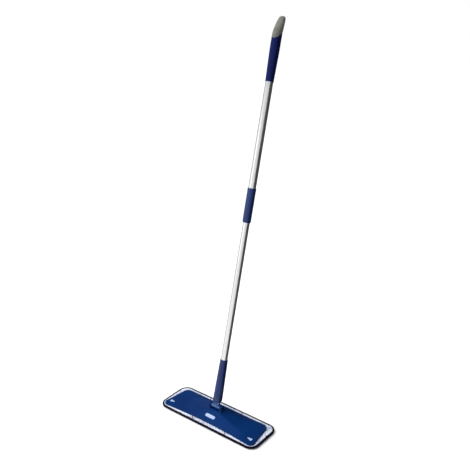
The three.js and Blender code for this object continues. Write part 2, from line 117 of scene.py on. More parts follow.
def tidy(data, distance=1e-6):
    work = bmesh.new()
    work.from_mesh(data)
    bmesh.ops.remove_doubles(work, verts=work.verts, dist=distance)
    bmesh.ops.dissolve_degenerate(work, edges=work.edges, dist=1e-7)
    bmesh.ops.recalc_face_normals(work, faces=work.faces)
    work.to_mesh(data)
    work.free()


def shade(thing, degrees=32):
    """Smooth shading that keeps edges sharper than this angle crisp."""
    work = bmesh.new()
    work.from_mesh(thing.data)
    limit = math.radians(degrees)
    for face in work.faces:
        face.smooth = True
    for edge in work.edges:
        edge.smooth = not (edge.is_manifold and edge.calc_face_angle(0) > limit)
    work.to_mesh(thing.data)
    work.free()


def bake_modifiers(thing):
    graph = bpy.context.evaluated_depsgraph_get()
    finished = bpy.data.meshes.new_from_object(thing.evaluated_get(graph))
    thing.modifiers.clear()
    thing.data = finished


def combine(thing, tools, operation="DIFFERENCE"):
    """Cuts or joins thing by each tool in turn and removes the tools."""
    for tool in tools:
        step = thing.modifiers.new("combine", "BOOLEAN")
        step.operation = operation
        step.solver = "EXACT"
        step.object = tool
        bpy.context.view_layer.update()
        bake_modifiers(thing)
        bpy.data.objects.remove(tool)
    tidy(thing.data, 2e-6)
    shade(thing)
    return thing


def fillet(points, steps=5, closed=True):
    """Rounds a polyline of (a, b, radius) corners with arcs and returns its (a, b) points."""
    result = []
    count = len(points)
    for i, (a, b, r) in enumerate(points):
        corner = np.array([a, b], float)
        ends = not closed and i in (0, count - 1)
        if r <= 0 or ends:
            result.append(tuple(corner))
            continue
        before = np.array(points[i - 1][:2], float) - corner
        after = np.array(points[(i + 1) % count][:2], float) - corner
        reach = min(np.linalg.norm(before), np.linalg.norm(after))
        u, v = before / np.linalg.norm(before), after / np.linalg.norm(after)
        half = math.acos(max(-1, min(1, float(u @ v)))) / 2
        if half > math.radians(88):
            result.append(tuple(corner))
            continue
        tangent = min(r / math.tan(half), 0.48 * reach)
        r = tangent * math.tan(half)
        centre = corner + (u + v) / np.linalg.norm(u + v) * (r / math.sin(half))
        start, stop = corner + u * tangent - centre, corner + v * tangent - centre
        sweep = math.atan2(start[0] * stop[1] - start[1] * stop[0], start @ stop)
        for k in range(steps + 1):
            angle = sweep * k / steps
            turn = np.array([[math.cos(angle), -math.sin(angle)], [math.sin(angle), math.cos(angle)]])
            result.append(tuple(centre + turn @ start))
    return result


def refine(points, step):
    """Adds points so that no stretch of the closed polyline is longer than step."""
    result = []
    for here, there in zip(points, points[1:] + points[:1]):
        a, b = np.array(here, float), np.array(there, float)
        parts = max(1, int(math.ceil(np.linalg.norm(b - a) / step)))
        result += [tuple(a + (b - a) * k / parts) for k in range(parts)]
    return result


def ring_faces(rings, count, closed_rings=False):
    faces = []
    total = rings if closed_rings else rings - 1
    for i in range(total):
        a, b = i * count, ((i + 1) % rings) * count
        faces += [(a + j, a + (j + 1) % count, b + (j + 1) % count, b + j) for j in range(count)]
    return faces


def turned(name, profile, matrix=POLE, segments=96, closed=True, shape=None):
    """Turns (radius, height) points about +Z. An open profile starts and ends on the axis.
    shape(radius, angle, height) may return a changed (radius, height)."""
    vertices = []
    for r, z in profile:
        for j in range(segments):
            angle = 2 * math.pi * j / segments
            rr, zz = shape(r, angle, z) if shape else (r, z)
            vertices.append((rr * math.cos(angle), rr * math.sin(angle), zz))
    faces = ring_faces(len(profile), segments, closed)
    return mesh_object(name, vertices, faces, matrix)


def lofted(name, rings, matrix=HEAD, closed=False):
    """Skins rings of equally many points. An open loft is closed by a face at each end."""
    count = len(rings[0])
    faces = ring_faces(len(rings), count, closed)
    if not closed:
        faces.append(tuple(range(count))[::-1])
        faces.append(tuple((len(rings) - 1) * count + j for j in range(count)))
    vertices = [point for ring in rings for point in ring]
    return mesh_object(name, vertices, faces, matrix)


def about_x(matrix=HEAD):
    """Lays what is made about +Z along +X."""
    return matrix @ Matrix.Rotation(math.pi / 2, 4, "Y")


def about_y(matrix=HEAD):
    """Lays what is made about +Z along +Y."""
    return matrix @ Matrix.Rotation(-math.pi / 2, 4, "X")


def at(x, y, z, matrix=HEAD):
    return matrix @ Matrix.Translation((x, y, z))


def facing(side):
    """A half turn about X where side is -1, and nothing where it is 1."""
    return Matrix.Identity(4) if side > 0 else Matrix.Rotation(math.pi, 4, "X")


def middle_of(node):
    """The middle of a CAD node's box in mm."""
    low, high = low_high(node)
    return (low + high) / 2


def bore_tool(r, start, end, flare, matrix, segments=64):
    """A cutter for a bore from start to end along +Z whose mouths are chamfered by flare."""
    past = 5
    profile = [(0, start - past), (r + flare + past, start - past), (r, start + flare), (r, end - flare),
               (r + flare + past, end + past), (0, end + past)]
    return turned("bore_tool", profile, matrix, segments, closed=False)


def box_tool(x, y, z, matrix, turn=0.0):
    """A plain box used only to cut with."""
    corners = [(a, b, c) for a in x for b in y for c in z]
    faces = [(0, 1, 3, 2), (4, 6, 7, 5), (0, 4, 5, 1), (2, 3, 7, 6), (0, 2, 6, 4), (1, 5, 7, 3)]
    return mesh_object("box_tool", corners, faces, matrix @ Matrix.Rotation(turn, 4, "Z"), False)


def quadratic(a, b, c, steps):
    """Points on a quadratic curve from a towards c, which is left out, drawn to b."""
    t = np.linspace(0, 1, steps + 1)[:-1, None]
    a, b, c = (np.array(p, float) for p in (a, b, c))
    return (1 - t) ** 2 * a + 2 * t * (1 - t) * b + t * t * c


def slab_rings(outline, low, high, rounding, steps=4):
    """Rings of an outline extruded from low to high with rounded edges; outline(inset) gives points."""
    rings = []
    for edge, into, order in ((low, 1, range(steps + 1)), (high, -1, range(steps, -1, -1))):
        for k in order:
            a = math.pi / 2 * k / steps
            inset, z = rounding * (1 - math.sin(a)), edge + into * rounding * (1 - math.cos(a))
            rings.append([(x, y, z) for x, y in outline(inset)])
    return rings


def smooth_step(x, low, high):
    t = np.clip((np.asarray(x, float) - low) / (high - low), 0, 1)
    return t * t * (3 - 2 * t)


def soft_min(values, softness):
    """The smallest of several arrays, rounded where they cross over about this length."""
    result = values[0]
    for value in values[1:]:
        h = np.clip(0.5 + 0.5 * (value - result) / softness, 0, 1)
        result = value + (result - value) * h - softness * h * (1 - h)
    return result


def waves(x, seed, count=7, lowest=1.0, highest=6.0):
    """A smooth repeatable wobble between about -1 and 1 for x in turns."""
    random = np.random.default_rng(seed)
    total = 0
    for _ in range(count):
        frequency = round(random.uniform(lowest, highest))
        total = total + math.sin(2 * math.pi * (frequency * x + random.uniform())) * random.uniform(0.4, 1)
    return total / math.sqrt(count)


def finish_piece(thing, body, material, slot, *nodes):
    """Gives a piece its material and its body and hides the CAD nodes it stands for; slot is not used."""
    thing.data.materials.clear()
    thing.data.materials.append(material)
    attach(thing, body)
    if nodes:
        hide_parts(*nodes)
    return thing


# ------------------------------------------------------------------ materials
def srgb(r, g, b):
    """Linear colour from 0 to 255 values as a screen shows them."""
    def linear(c):
        c = c / 255
        return c / 12.92 if c <= 0.04045 else ((c + 0.055) / 1.055) ** 2.4
    return (linear(r), linear(g), linear(b), 1)


def principled(name, **settings):
    """A material and its Principled shader, with these constants on the shader's own sockets."""
    material = bpy.data.materials.new(name)
    material.use_nodes = True
    shader = material.node_tree.nodes["Principled BSDF"]
    for key, value in settings.items():
        shader.inputs[key.replace("_", " ")].default_value = value
    return material, shader


class Finish:
    """A node material around one Principled shader, with positions in mm."""

    def __init__(self, name, along_pole=False, **settings):
        self.material, self.shader = principled(name, **settings)
        self.tree = self.material.node_tree
        place = self.node("ShaderNodeTexCoord")
        per_metre = (1 / MM, 1 / MM, 1 / MM)
        self.position = self.mapped(place.outputs["Object"], per_metre, LEAN if along_pole else 0)

    def node(self, kind, numbers=None, **settings):
        made = self.tree.nodes.new(kind)
        for key, value in settings.items():
            setattr(made, key, value)
        for key, value in (numbers or {}).items():
            made.inputs[key].default_value = value
        return made

    def link(self, source, target):
        self.tree.links.new(source, target)

    def feed(self, value, target):
        """Links a socket to the target, or sets the target to a constant."""
        if isinstance(value, bpy.types.NodeSocket):
            self.link(value, target)
        else:
            target.default_value = value

    def mapped(self, vector, scale, turn=0.0):
        made = self.node("ShaderNodeMapping", {"Scale": scale, "Rotation": (turn, 0, 0)})
        self.link(vector, made.inputs["Vector"])
        return made.outputs["Vector"]

    def texture(self, kind, output, stretch, numbers, **settings):
        made = self.node(kind, numbers, **settings)
        self.link(self.mapped(self.position, stretch), made.inputs["Vector"])
        return made.outputs[output]

    def noise(self, scale, detail=3.0, roughness=0.55, stretch=(1, 1, 1)):
        numbers = {"Scale": scale, "Detail": detail, "Roughness": roughness}
        return self.texture("ShaderNodeTexNoise", "Fac", stretch, numbers)

    def voronoi(self, scale, stretch=(1, 1, 1), jitter=1.0):
        numbers = {"Scale": scale, "Randomness": jitter}
        return self.texture("ShaderNodeTexVoronoi", "Distance", stretch, numbers)

    def wave(self, scale, direction="X", distortion=0.0):
        numbers = {"Scale": scale, "Distortion": distortion, "Detail": 1.0}
        return self.texture("ShaderNodeTexWave", "Fac", (1, 1, 1), numbers, bands_direction=direction)

    def ramp(self, value, low, high, colours=None, numbers=(0.0, 1.0)):
        """Maps value from low..high to two colours, or to two numbers."""
        if colours is None:
            ends = {"From Min": low, "From Max": high, "To Min": numbers[0], "To Max": numbers[1]}
            made = self.node("ShaderNodeMapRange", ends, clamp=True)
            self.link(value, made.inputs["Value"])
            return made.outputs["Result"]
        made = self.node("ShaderNodeValToRGB")
        self.link(value, made.inputs["Fac"])
        for stop, place, colour in zip(made.color_ramp.elements, (low, high), colours):
            stop.position = place
            stop.color = colour
        return made.outputs["Color"]

    def mix(self, factor, a, b):
        """Mixes two colours, each a socket or a colour, by a socket or a number."""
        made = self.node("ShaderNodeMix", data_type="RGBA")
        for value, place in ((factor, 0), (a, 6), (b, 7)):
            self.feed(value, made.inputs[place])
        return made.outputs[2]

    def math(self, operation, a, b):
        made = self.node("ShaderNodeMath", operation=operation)
        for value, place in ((a, 0), (b, 1)):
            self.feed(value, made.inputs[place])
        return made.outputs[0]

    def edges(self, low=0.52, high=0.6):
        """About 1 on worn and sharp outer edges, where paler wear and painted edge highlights go; 0 on flat
        surfaces.
        """
        made = self.node("ShaderNodeNewGeometry")
        return self.ramp(made.outputs["Pointiness"], low, high)

    def height(self):
        """The height above the floor in mm."""
        made = self.node("ShaderNodeSeparateXYZ")
        self.link(self.position, made.inputs[0])
        return made.outputs["Z"]

    def colour(self, socket):
        self.link(socket, self.shader.inputs["Base Color"])

    def rough(self, socket):
        self.link(socket, self.shader.inputs["Roughness"])

    def bump(self, *layers):
        """Stacks (height socket, strength, distance in mm) bumps on the normal."""
        last = None
        for height, strength, distance in layers:
            made = self.node("ShaderNodeBump", {"Strength": strength, "Distance": distance * MM})
            self.link(height, made.inputs["Height"])
            if last is not None:
                self.link(last, made.inputs["Normal"])
            last = made.outputs["Normal"]
        self.link(last, self.shader.inputs["Normal"])


def moulded_plastic(name, base, light, dark, roughness=(0.34, 0.5), grain=1.6, grain_depth=0.03,
                    edge_wear_and_highlight=0.35, along_pole=False, **settings):
    """Injection-moulded plastic: spark-eroded grain, faint flow marks, scuffs and paler edges, worn and, at a
    high edge weight, also a painted highlight.
    """
    finish = Finish(name, along_pole, **settings)
    flow = finish.noise(0.012, 2.0, stretch=(1, 1, 0.35))
    scuffs = finish.noise(0.22, 5.0, 0.7, stretch=(1, 3.5, 1))
    fine = finish.noise(grain, 2.0, 0.6)
    tone = finish.ramp(flow, 0.35, 0.68, (dark, base))
    tone = finish.mix(finish.ramp(scuffs, 0.6, 0.82, numbers=(0, 0.16)), tone, light)
    # paler edges: real wear, and at a high weight a painted highlight along the edge
    tone = finish.mix(finish.math("MULTIPLY", finish.edges(), edge_wear_and_highlight), tone, light)
    finish.colour(tone)
    low, high = roughness
    gloss = finish.ramp(scuffs, 0.35, 0.75, numbers=(low, high))
    finish.rough(finish.math("ADD", gloss, finish.ramp(fine, 0.3, 0.7, numbers=(-0.04, 0.04))))
    finish.bump((fine, 0.5, grain_depth), (flow, 0.15, 0.15))
    return finish.material


def drawn_aluminium():
    """Satin anodised tube: fine lines along its length, a few rubbed rings and faint smears."""
    finish = Finish("drawn_aluminium", along_pole=True, Metallic=1.0)
    lines = finish.noise(4.0, 3.0, 0.6, stretch=(1, 1, 0.012))
    smears = finish.noise(0.05, 4.0, 0.6, stretch=(1, 1, 0.25))
    rubbed = finish.noise(0.9, 4.0, 0.75, stretch=(0.06, 0.06, 1))
    tone = finish.ramp(lines, 0.3, 0.7, (srgb(196, 199, 201), srgb(226, 227, 227)))
    tone = finish.mix(finish.ramp(rubbed, 0.66, 0.8, numbers=(0, 0.25)), tone, srgb(168, 170, 172))
    finish.colour(tone)
    satin = finish.ramp(lines, 0.25, 0.75, numbers=(0.24, 0.34))
    finish.rough(finish.math("ADD", satin, finish.ramp(smears, 0.45, 0.7, numbers=(0, 0.1))))
    finish.bump((lines, 0.22, 0.012), (rubbed, 0.08, 0.02))
    return finish.material


def dark_steel():
    """Blackened steel whose turned edges are rubbed bright; the bright edges also paint the highlight where
    light catches the rivet's rim.
    """
    finish = Finish("dark_steel", Metallic=1.0)
    turning = finish.noise(2.2, 4.0, 0.7)
    tone = finish.ramp(turning, 0.3, 0.7, (srgb(92, 95, 102), srgb(126, 130, 138)))
    # bright edges: rubbed wear, and a painted highlight on the rivet's flared rim
    finish.colour(finish.mix(finish.edges(0.53, 0.62), tone, srgb(196, 200, 208)))
    finish.rough(finish.ramp(turning, 0.35, 0.7, numbers=(0.22, 0.36)))
    finish.bump((turning, 0.2, 0.02))
    return finish.material


def soft_grip():
    """Grey soft-touch overmould: dense fine grain, a dusty bloom and darker handled patches."""
    finish = Finish("soft_grip", along_pole=True, Specular_IOR_Level=0.35)
    patches = finish.noise(0.07, 4.0, 0.6)
    speckle = finish.noise(1.3, 4.0, 0.75)
    grain = finish.voronoi(1.9)
    tone = finish.ramp(patches, 0.32, 0.68, (srgb(96, 97, 91), srgb(116, 117, 111)))
    tone = finish.mix(finish.ramp(speckle, 0.45, 0.7, numbers=(0, 0.35)), tone, srgb(78, 78, 74))
    tone = finish.mix(finish.math("MULTIPLY", finish.edges(), 0.3), tone, srgb(138, 139, 134))
    finish.colour(tone)
    finish.rough(finish.ramp(speckle, 0.3, 0.7, numbers=(0.58, 0.78)))
    finish.bump((grain, 0.45, 0.08), (speckle, 0.3, 0.06))
    return finish.material


def loop_knit():
    """White brushed loop knit: tiny loops in wales, stray fibres, and painted blue-grey shade in the hollows
    between the folds.
    """
    finish = Finish("loop_knit", Specular_IOR_Level=0.2, Sheen_Weight=0.1, Sheen_Roughness=0.5)
    loops = finish.voronoi(0.75, stretch=(1, 1.5, 1), jitter=0.75)
    wales = finish.wave(0.32, "X", 1.5)
    fuzz = finish.noise(1.7, 5.0, 0.75)
    patches = finish.noise(0.045, 3.0)
    level = low_high("pad_backing")[1][2]
    raised = finish.ramp(finish.height(), level - 0.65, level + 0.4)
    tone = finish.ramp(loops, 0.1, 0.75, (srgb(226, 229, 236), srgb(182, 190, 206)))
    tone = finish.mix(finish.ramp(patches, 0.4, 0.7, numbers=(0, 0.4)), tone, srgb(178, 188, 206))
    tone = finish.mix(finish.ramp(fuzz, 0.58, 0.75, numbers=(0, 0.3)), tone, srgb(146, 158, 184))
    # painted shade: blue-grey where the knit lies low in the hollows between the folds
    tone = finish.mix(raised, srgb(96, 106, 146), tone)
    finish.colour(tone)
    finish.rough(finish.ramp(fuzz, 0.3, 0.7, numbers=(0.82, 0.98)))
    finish.bump((loops, 0.7, 0.5), (wales, 0.25, 0.3), (fuzz, 0.5, 0.25))
    return finish.material


def binding_weave():
    """Navy-black twill tape: diagonal ribs, lint and slightly faded high spots."""
    finish = Finish("binding_weave", Specular_IOR_Level=0.08)
    twill = finish.wave(0.42, "DIAGONAL", 0.6)
    threads = finish.noise(1.5, 3.0, 0.6)
    lint = finish.noise(0.5, 5.0, 0.75)
    tone = finish.ramp(twill, 0.2, 0.8, (srgb(5, 4, 14), srgb(16, 14, 34)))
    tone = finish.mix(finish.ramp(lint, 0.64, 0.82, numbers=(0, 0.14)), tone, srgb(52, 52, 80))
    finish.colour(tone)
    finish.rough(finish.ramp(threads, 0.3, 0.7, numbers=(0.78, 0.95)))
    finish.bump((twill, 0.6, 0.35), (threads, 0.5, 0.2))
    return finish.material


def microfibre():
    """Blue split-fibre pile: darker roots, paler tips and streaks where it has been brushed."""
    finish = Finish("microfibre_pile", Sheen_Weight=0.6, Sheen_Roughness=0.4)
    tufts = finish.voronoi(0.28, jitter=0.9)
    fibres = finish.noise(1.6, 6.0, 0.8, stretch=(1, 2.5, 1))
    streaks = finish.noise(0.03, 4.0, 0.6, stretch=(0.4, 1.6, 1))
    tone = finish.ramp(tufts, 0.05, 0.8, (srgb(74, 112, 186), srgb(24, 50, 118)))
    tone = finish.mix(finish.ramp(fibres, 0.42, 0.68, numbers=(0, 0.55)), tone, srgb(110, 146, 208))
    tone = finish.mix(finish.ramp(streaks, 0.4, 0.65, numbers=(0, 0.35)), tone, srgb(34, 62, 134))
    finish.colour(tone)
    finish.rough(finish.ramp(fibres, 0.3, 0.7, numbers=(0.86, 1.0)))
    finish.bump((tufts, 0.8, 1.2), (fibres, 0.8, 0.5))
    return finish.material


def two_tone(name, tone, colours, gloss, numbers, *bumps, **settings):
    """A finish whose colour and roughness each follow one texture, as (kind, arguments, low, high).
    Each bump is 0 for the colour's texture or 1 for the roughness's, then its strength and distance."""
    finish = Finish(name, **settings)
    made = [getattr(finish, kind)(*arguments) for kind, arguments, _, _ in (tone, gloss)]
    finish.colour(finish.ramp(made[0], *tone[2:], colours))
    finish.rough(finish.ramp(made[1], *gloss[2:], numbers=numbers))
    if bumps:
        finish.bump(*[(made[which], strength, distance) for which, strength, distance in bumps])
    return finish.material


def floor_paint():
    finish = Finish("floor_paint")
    cloud = finish.noise(0.002, 2.0)
    finish.colour(finish.ramp(cloud, 0.3, 0.7, (srgb(244, 244, 244), srgb(248, 248, 248))))
    finish.rough(finish.ramp(cloud, 0.3, 0.7, numbers=(0.75, 0.85)))
    return finish.material


COVER_BLUE = moulded_plastic("cover_blue", srgb(0, 40, 92), srgb(30, 76, 136), srgb(0, 32, 80),
                             (0.42, 0.56), 1.5, 0.035, Specular_IOR_Level=0.12)
SOCKET_BLUE = moulded_plastic("socket_blue", srgb(8, 42, 100), srgb(60, 98, 158), srgb(4, 30, 84),
                              (0.3, 0.44), 1.7, 0.03, along_pole=True, Specular_IOR_Level=0.4)
# a copy of the socket's blue in paler colours, which paint part of the barrel's highlight, with a glossier
# coat
JOINT_BLUE = moulded_plastic("joint_blue", srgb(12, 52, 118), srgb(70, 108, 168), srgb(6, 38, 98),
                             (0.14, 0.24), 1.7, 0.02, Coat_Weight=0.6, Coat_Roughness=0.12,
                             Specular_IOR_Level=1.0, Specular_Tint=(0.45, 0.75, 1, 1))
# the edge weight of 0.75 and the paler colour paint a highlight along the grip's rim lip, as well as wear
GRIP_NAVY = moulded_plastic("grip_navy", srgb(0, 20, 82), srgb(48, 88, 162), srgb(0, 6, 52),
                            (0.44, 0.62), 1.1, 0.14, 0.75, along_pole=True, Specular_IOR_Level=0.16)
ALUMINIUM = drawn_aluminium()
STEEL = two_tone("plated_steel", ("noise", (2.2, 4.0, 0.7), 0.3, 0.7),
                 (srgb(176, 180, 186), srgb(214, 217, 221)),
                 ("noise", (0.6, 3.0, 0.6), 0.35, 0.7), (0.2, 0.42), (0, 0.2, 0.02), Metallic=1.0)
DARK_STEEL = dark_steel()
SOFT_GREY = soft_grip()
NYLON = two_tone("natural_nylon", ("noise", (0.15, 3.0), 0.3, 0.7),
                 (srgb(222, 219, 208), srgb(238, 236, 229)),
                 ("noise", (2.4, 2.0), 0.3, 0.7), (0.4, 0.56), (1, 0.3, 0.02), Subsurface_Weight=0.15)
RUBBER = two_tone("black_rubber", ("noise", (1.8, 3.0), 0.3, 0.7), (srgb(20, 21, 24), srgb(36, 37, 41)),
                  ("noise", (1.8, 3.0), 0.3, 0.7), (0.68, 0.85), (0, 0.4, 0.04), Specular_IOR_Level=0.4)
INLAY = two_tone("pale_inlay", ("noise", (0.4, 5.0, 0.7, (1, 3, 1)), 0.4, 0.75),
                 (srgb(160, 176, 206), srgb(140, 154, 184)),
                 ("noise", (0.4, 5.0, 0.7, (1, 3, 1)), 0.35, 0.7), (0.36, 0.55), (0, 0.15, 0.02))
KNIT = loop_knit()
TAPE = binding_weave()
THREAD = two_tone("stitch_thread", ("wave", (1.1, "DIAGONAL", 0.4), 0.2, 0.8),
                  (srgb(10, 10, 26), srgb(34, 34, 62)),
                  ("noise", (3.0, 3.0), 0.3, 0.7), (0.7, 0.9), (0, 0.6, 0.1), Sheen_Weight=0.2)
PILE = microfibre()
FLEECE = two_tone("fleece", ("noise", (0.35, 5.0, 0.7), 0.3, 0.7), (srgb(214, 209, 195), srgb(234, 230, 219)),
                  ("noise", (1.9, 5.0, 0.8), 0.3, 0.7), (0.88, 1.0), (0, 0.6, 0.6), (1, 0.6, 0.3),
                  Sheen_Weight=0.3)
HOOKS = two_tone("hook_weave", ("voronoi", (0.85, (1, 1, 1), 0.12), 0.1, 0.6),
                 (srgb(52, 54, 60), srgb(16, 17, 20)),
                 ("noise", (2.0, 3.0), 0.3, 0.7), (0.5, 0.75), (0, 0.9, 1.0), (1, 0.4, 0.1))


# ------------------------------------------------------------------ pole
TUBE_WALL = 1.1
LOWER_TUBE_BORE = 11.3          # round the lower tube, in every piece that holds or guides it


def make_tube(node, body):
    start, end = span(node)
    outer = radius(node)
    inner = outer - TUBE_WALL
    profile = fillet([(inner, start, 0.2), (outer, start, 0.4), (outer, end, 0.4), (inner, end, 0.2)])
    tube = turned(node + "_drawn", profile, POLE, 128)
    finish_piece(tube, body, ALUMINIUM, "tube_aluminium", node)


RIM_SLOPE = math.tan(math.radians(42.9))
RIM_AT = 1221.5                 # where the seam of grip and cap crosses the pole's axis
RIM_LIP = 1.1                   # the rounded lip where the grip meets the cap
GRIP_WALL = 2.9
GRIP_TAPER = (18, 84)           # where the taper starts above the foot, and its length
MOULD_LINE = 0.12


def make_grip():
    """Tapered sleeve with a flared foot and a slanted, rounded lip under the cap."""
    start, _ = span("handle_grip")
    outer = radius("handle_grip")
    foot, bore = outer - 2.2, outer - GRIP_WALL
    wall = [(bore, start + 0.4), (bore + 0.3, start), (foot - 0.3, start), (foot + 0.1, start + 0.5),
            (foot + 0.25, start + 1.6), (foot + 0.2, start + 4), (foot + 0.05, start + 9)]
    for t in np.arange(13) / 12:
        swell = (outer - foot - 0.3) * (1 - (1 - t) ** 1.4)
        wall.append((foot + 0.3 + swell, start + GRIP_TAPER[0] + GRIP_TAPER[1] * t))
    rows = [(outer, RIM_AT - 30, 0.35), (outer, RIM_AT - 12, 0.8), (outer, RIM_AT - 3, 1)]
    for k in range(7):
        angle = math.pi / 2 * k / 6
        rows.append((outer - RIM_LIP * (1 - math.cos(angle)), RIM_AT - RIM_LIP * (1 - math.sin(angle)), 1))
    rows += [(bore + 0.3, RIM_AT, 1), (bore, RIM_AT - 0.4, 1), (bore, RIM_AT - 30, 0.5)]
    slant = {(r, z): k for r, z, k in rows}

    def shape(r, angle, z):
        line = MOULD_LINE * math.exp(-((math.cos(angle)) / 0.012) ** 2)
        outside = r > bore + 1 and z < RIM_AT - 20
        return r + (line if outside else 0), z + slant.get((r, z), 0) * RIM_SLOPE * r * math.sin(angle)

    profile = wall + [(r, z) for r, z, _ in rows]
    grip = turned("grip_sleeve", profile, POLE, 160, True, shape)
    finish_piece(grip, "upper_pole", GRIP_NAVY, "grip_navy", "handle_grip")


# Sections of the cap's crown: height, centre towards the back, half width, half depth
CROWN = np.array([
    [1190, 0, 15.6, 15.6],
    [1218, 0, 15.6, 15.6],
    [1228, 1.2, 15.6, 15],
    [1237, 3.2, 15.4, 13.9],
    [1247, 5.8, 15, 12.2],
    [1257, 8.6, 14.2, 10.7],
    [1266, 11.6, 12.9, 9.3],
    [1272, 13.4, 11.3, 8],
    [1276.5, 14.4, 8.8, 6.4],
    [1279, 15, 0, 0],
])


def crown_at(height):
    """The crown's centre, half width and half depth, smooth in the square root below its tip."""
    tip = CROWN[-1, 0]
    depth = np.sqrt(np.maximum(tip - CROWN[::-1, 0], 0))
    u = math.sqrt(max(tip - height, 0))
    found = []
    for column in (1, 2, 3):
        values = CROWN[::-1, column]
        slopes = np.gradient(values, depth)
        i = int(np.clip(np.searchsorted(depth, u) - 1, 0, len(depth) - 2))
        step = depth[i + 1] - depth[i]
        t = (u - depth[i]) / step
        start = (2 * t**3 - 3 * t**2 + 1) * values[i] + (t**3 - 2 * t**2 + t) * step * slopes[i]
        found.append(start + (3 * t**2 - 2 * t**3) * values[i + 1] + (t**3 - t**2) * step * slopes[i + 1])
    return found


CAP_COLUMNS = 128
CAP_ROWS = 64
CAP_SEAM_ROUND = 0.9
CAP_PLUG = 10.6                 # the radius of the plug inside the upper tube
ANGLES = [2 * math.pi * j / CAP_COLUMNS for j in range(CAP_COLUMNS)]


def cap_seam(angle):
    """The height at which the crown starts at an angle, a gap above the grip's slanted rim."""
    seam = RIM_AT
    for _ in range(12):
        centre, _, deep = crown_at(seam)
        seam = RIM_AT + GAP + RIM_SLOPE * (centre + deep * math.sin(angle))
    return seam


def plug_rings():
    """The cap's plug: up inside the upper tube, then out to the grip's bore and its slanted rim."""
    start = span("end_cap")[0]
    bore = radius("handle_grip") - GRIP_WALL - GAP
    rings = []
    for r, z in ((0.01, start), (CAP_PLUG - 1, start), (CAP_PLUG, start + 1), (CAP_PLUG, 1188.3),
                 (bore, 1188.4)):
        rings.append([(r * math.cos(a), r * math.sin(a), z) for a in ANGLES])
    rings.append([(bore * math.cos(a), bore * math.sin(a), RIM_AT + 0.2 + RIM_SLOPE * bore * math.sin(a))
                  for a in ANGLES])
    return rings


def make_end_cap():
    """Soft crown that sweeps back to its tip over a slanted seam, on a plug inside the grip."""
    tip = CROWN[-1, 0] - 0.02
    seams = [cap_seam(a) for a in ANGLES]
    rings = plug_rings()
    for i in range(CAP_ROWS + 1):
        share = 1 - (1 - i / CAP_ROWS) ** 1.8
        ring = []
        for a, seam in zip(ANGLES, seams):
            z = seam + (tip - seam) * share
            centre, wide, deep = crown_at(z)
            rounded = 1 - min((z - seam) / CAP_SEAM_ROUND, 1)
            tuck = CAP_SEAM_ROUND * (1 - math.sqrt(max(0, 1 - rounded**2)))
            trim = 1 - tuck / 15
            ring.append((wide * trim * math.cos(a), centre + deep * trim * math.sin(a), z))
        rings.append(ring)
    cap = lofted("end_cap_crown", rings, POLE)
    finish_piece(cap, "upper_pole", SOFT_GREY, "cap_grey", "end_cap")


FLUTES = 18
FLUTE_DEPTH = 0.28


def make_collar():
    """Twist-lock sleeve: raised top lip, shallow flutes for the fingers and a rounded mouth."""
    start, end = span("lock_collar")
    lip = radius("lock_collar")
    body, mouth = lip - 0.5, LOWER_TUBE_BORE
    bore = 12.8
    outer = fillet([(mouth, start, 0.4), (mouth + 1.6, start, 1.4), (body - 0.2, start + 6, 5),
                    (body, start + 12, 3)], 6, closed=False)[1:-1]
    rows = [(body, start + 12 + (end - start - 20) * k / 40) for k in range(41)]
    top = fillet([(body - 0.1, end - 7, 1), (lip - 0.1, end - 5, 1.2), (lip, end - 0.8, 1.2),
                  (bore, end, 0.4), (bore, end - 3, 0)], 5, closed=False)
    inner = [(bore, start + 4.2), (mouth, start + 3.9), (mouth, start + 0.4)]
    fluted = [start + 20, start + 26, end - 20, end - 14]

    def shape(r, angle, z):
        if r < 13.2 or z < fluted[0] or z > fluted[3]:
            return r, z
        window = float(smooth_step(z, fluted[0], fluted[1]) * (1 - smooth_step(z, fluted[2], fluted[3])))
        dip = max(0, math.cos(FLUTES * angle)) ** 2
        return r - FLUTE_DEPTH * window * dip, z

    collar = turned("collar_sleeve", outer + rows + top[1:] + inner, POLE, 216, True, shape)
    finish_piece(collar, "lock_collar", SOCKET_BLUE, "socket_blue", "lock_collar")


def make_wiper():
    start, end = span("wiper_ring")
    outer = radius("wiper_ring")
    bore = LOWER_TUBE_BORE
    profile = fillet([(bore, start + 0.8, 0.3), (outer, start, 0.5), (outer, end, 0.5),
                      (bore, end - 0.8, 0.3), (bore + 0.3, (start + end) / 2, 0.2)])
    ring = turned("wiper_seal", profile, POLE, 96)
    finish_piece(ring, "wiper_ring", RUBBER, "wiper_rubber", "wiper_ring")


def make_collet():
    """Split sleeve with four fingers and a tapered nose."""
    start, end = span("collet")
    outer = radius("collet")
    bore = LOWER_TUBE_BORE
    profile = fillet([(bore, start, 0.2), (outer - 0.3, start, 0.2), (outer, start + 4, 0.3),
                      (outer, end, 0.3), (bore, end, 0.2)])
    sleeve = turned("collet_sleeve", profile, POLE, 96)
    slots = [box_tool((-20, 20), (-0.6, 0.6), (start - 2, end - 7), POLE, math.pi / 4 + k * math.pi / 2)
             for k in range(2)]
    combine(sleeve, slots)
    finish_piece(sleeve, "upper_pole", NYLON, "nylon", "collet")


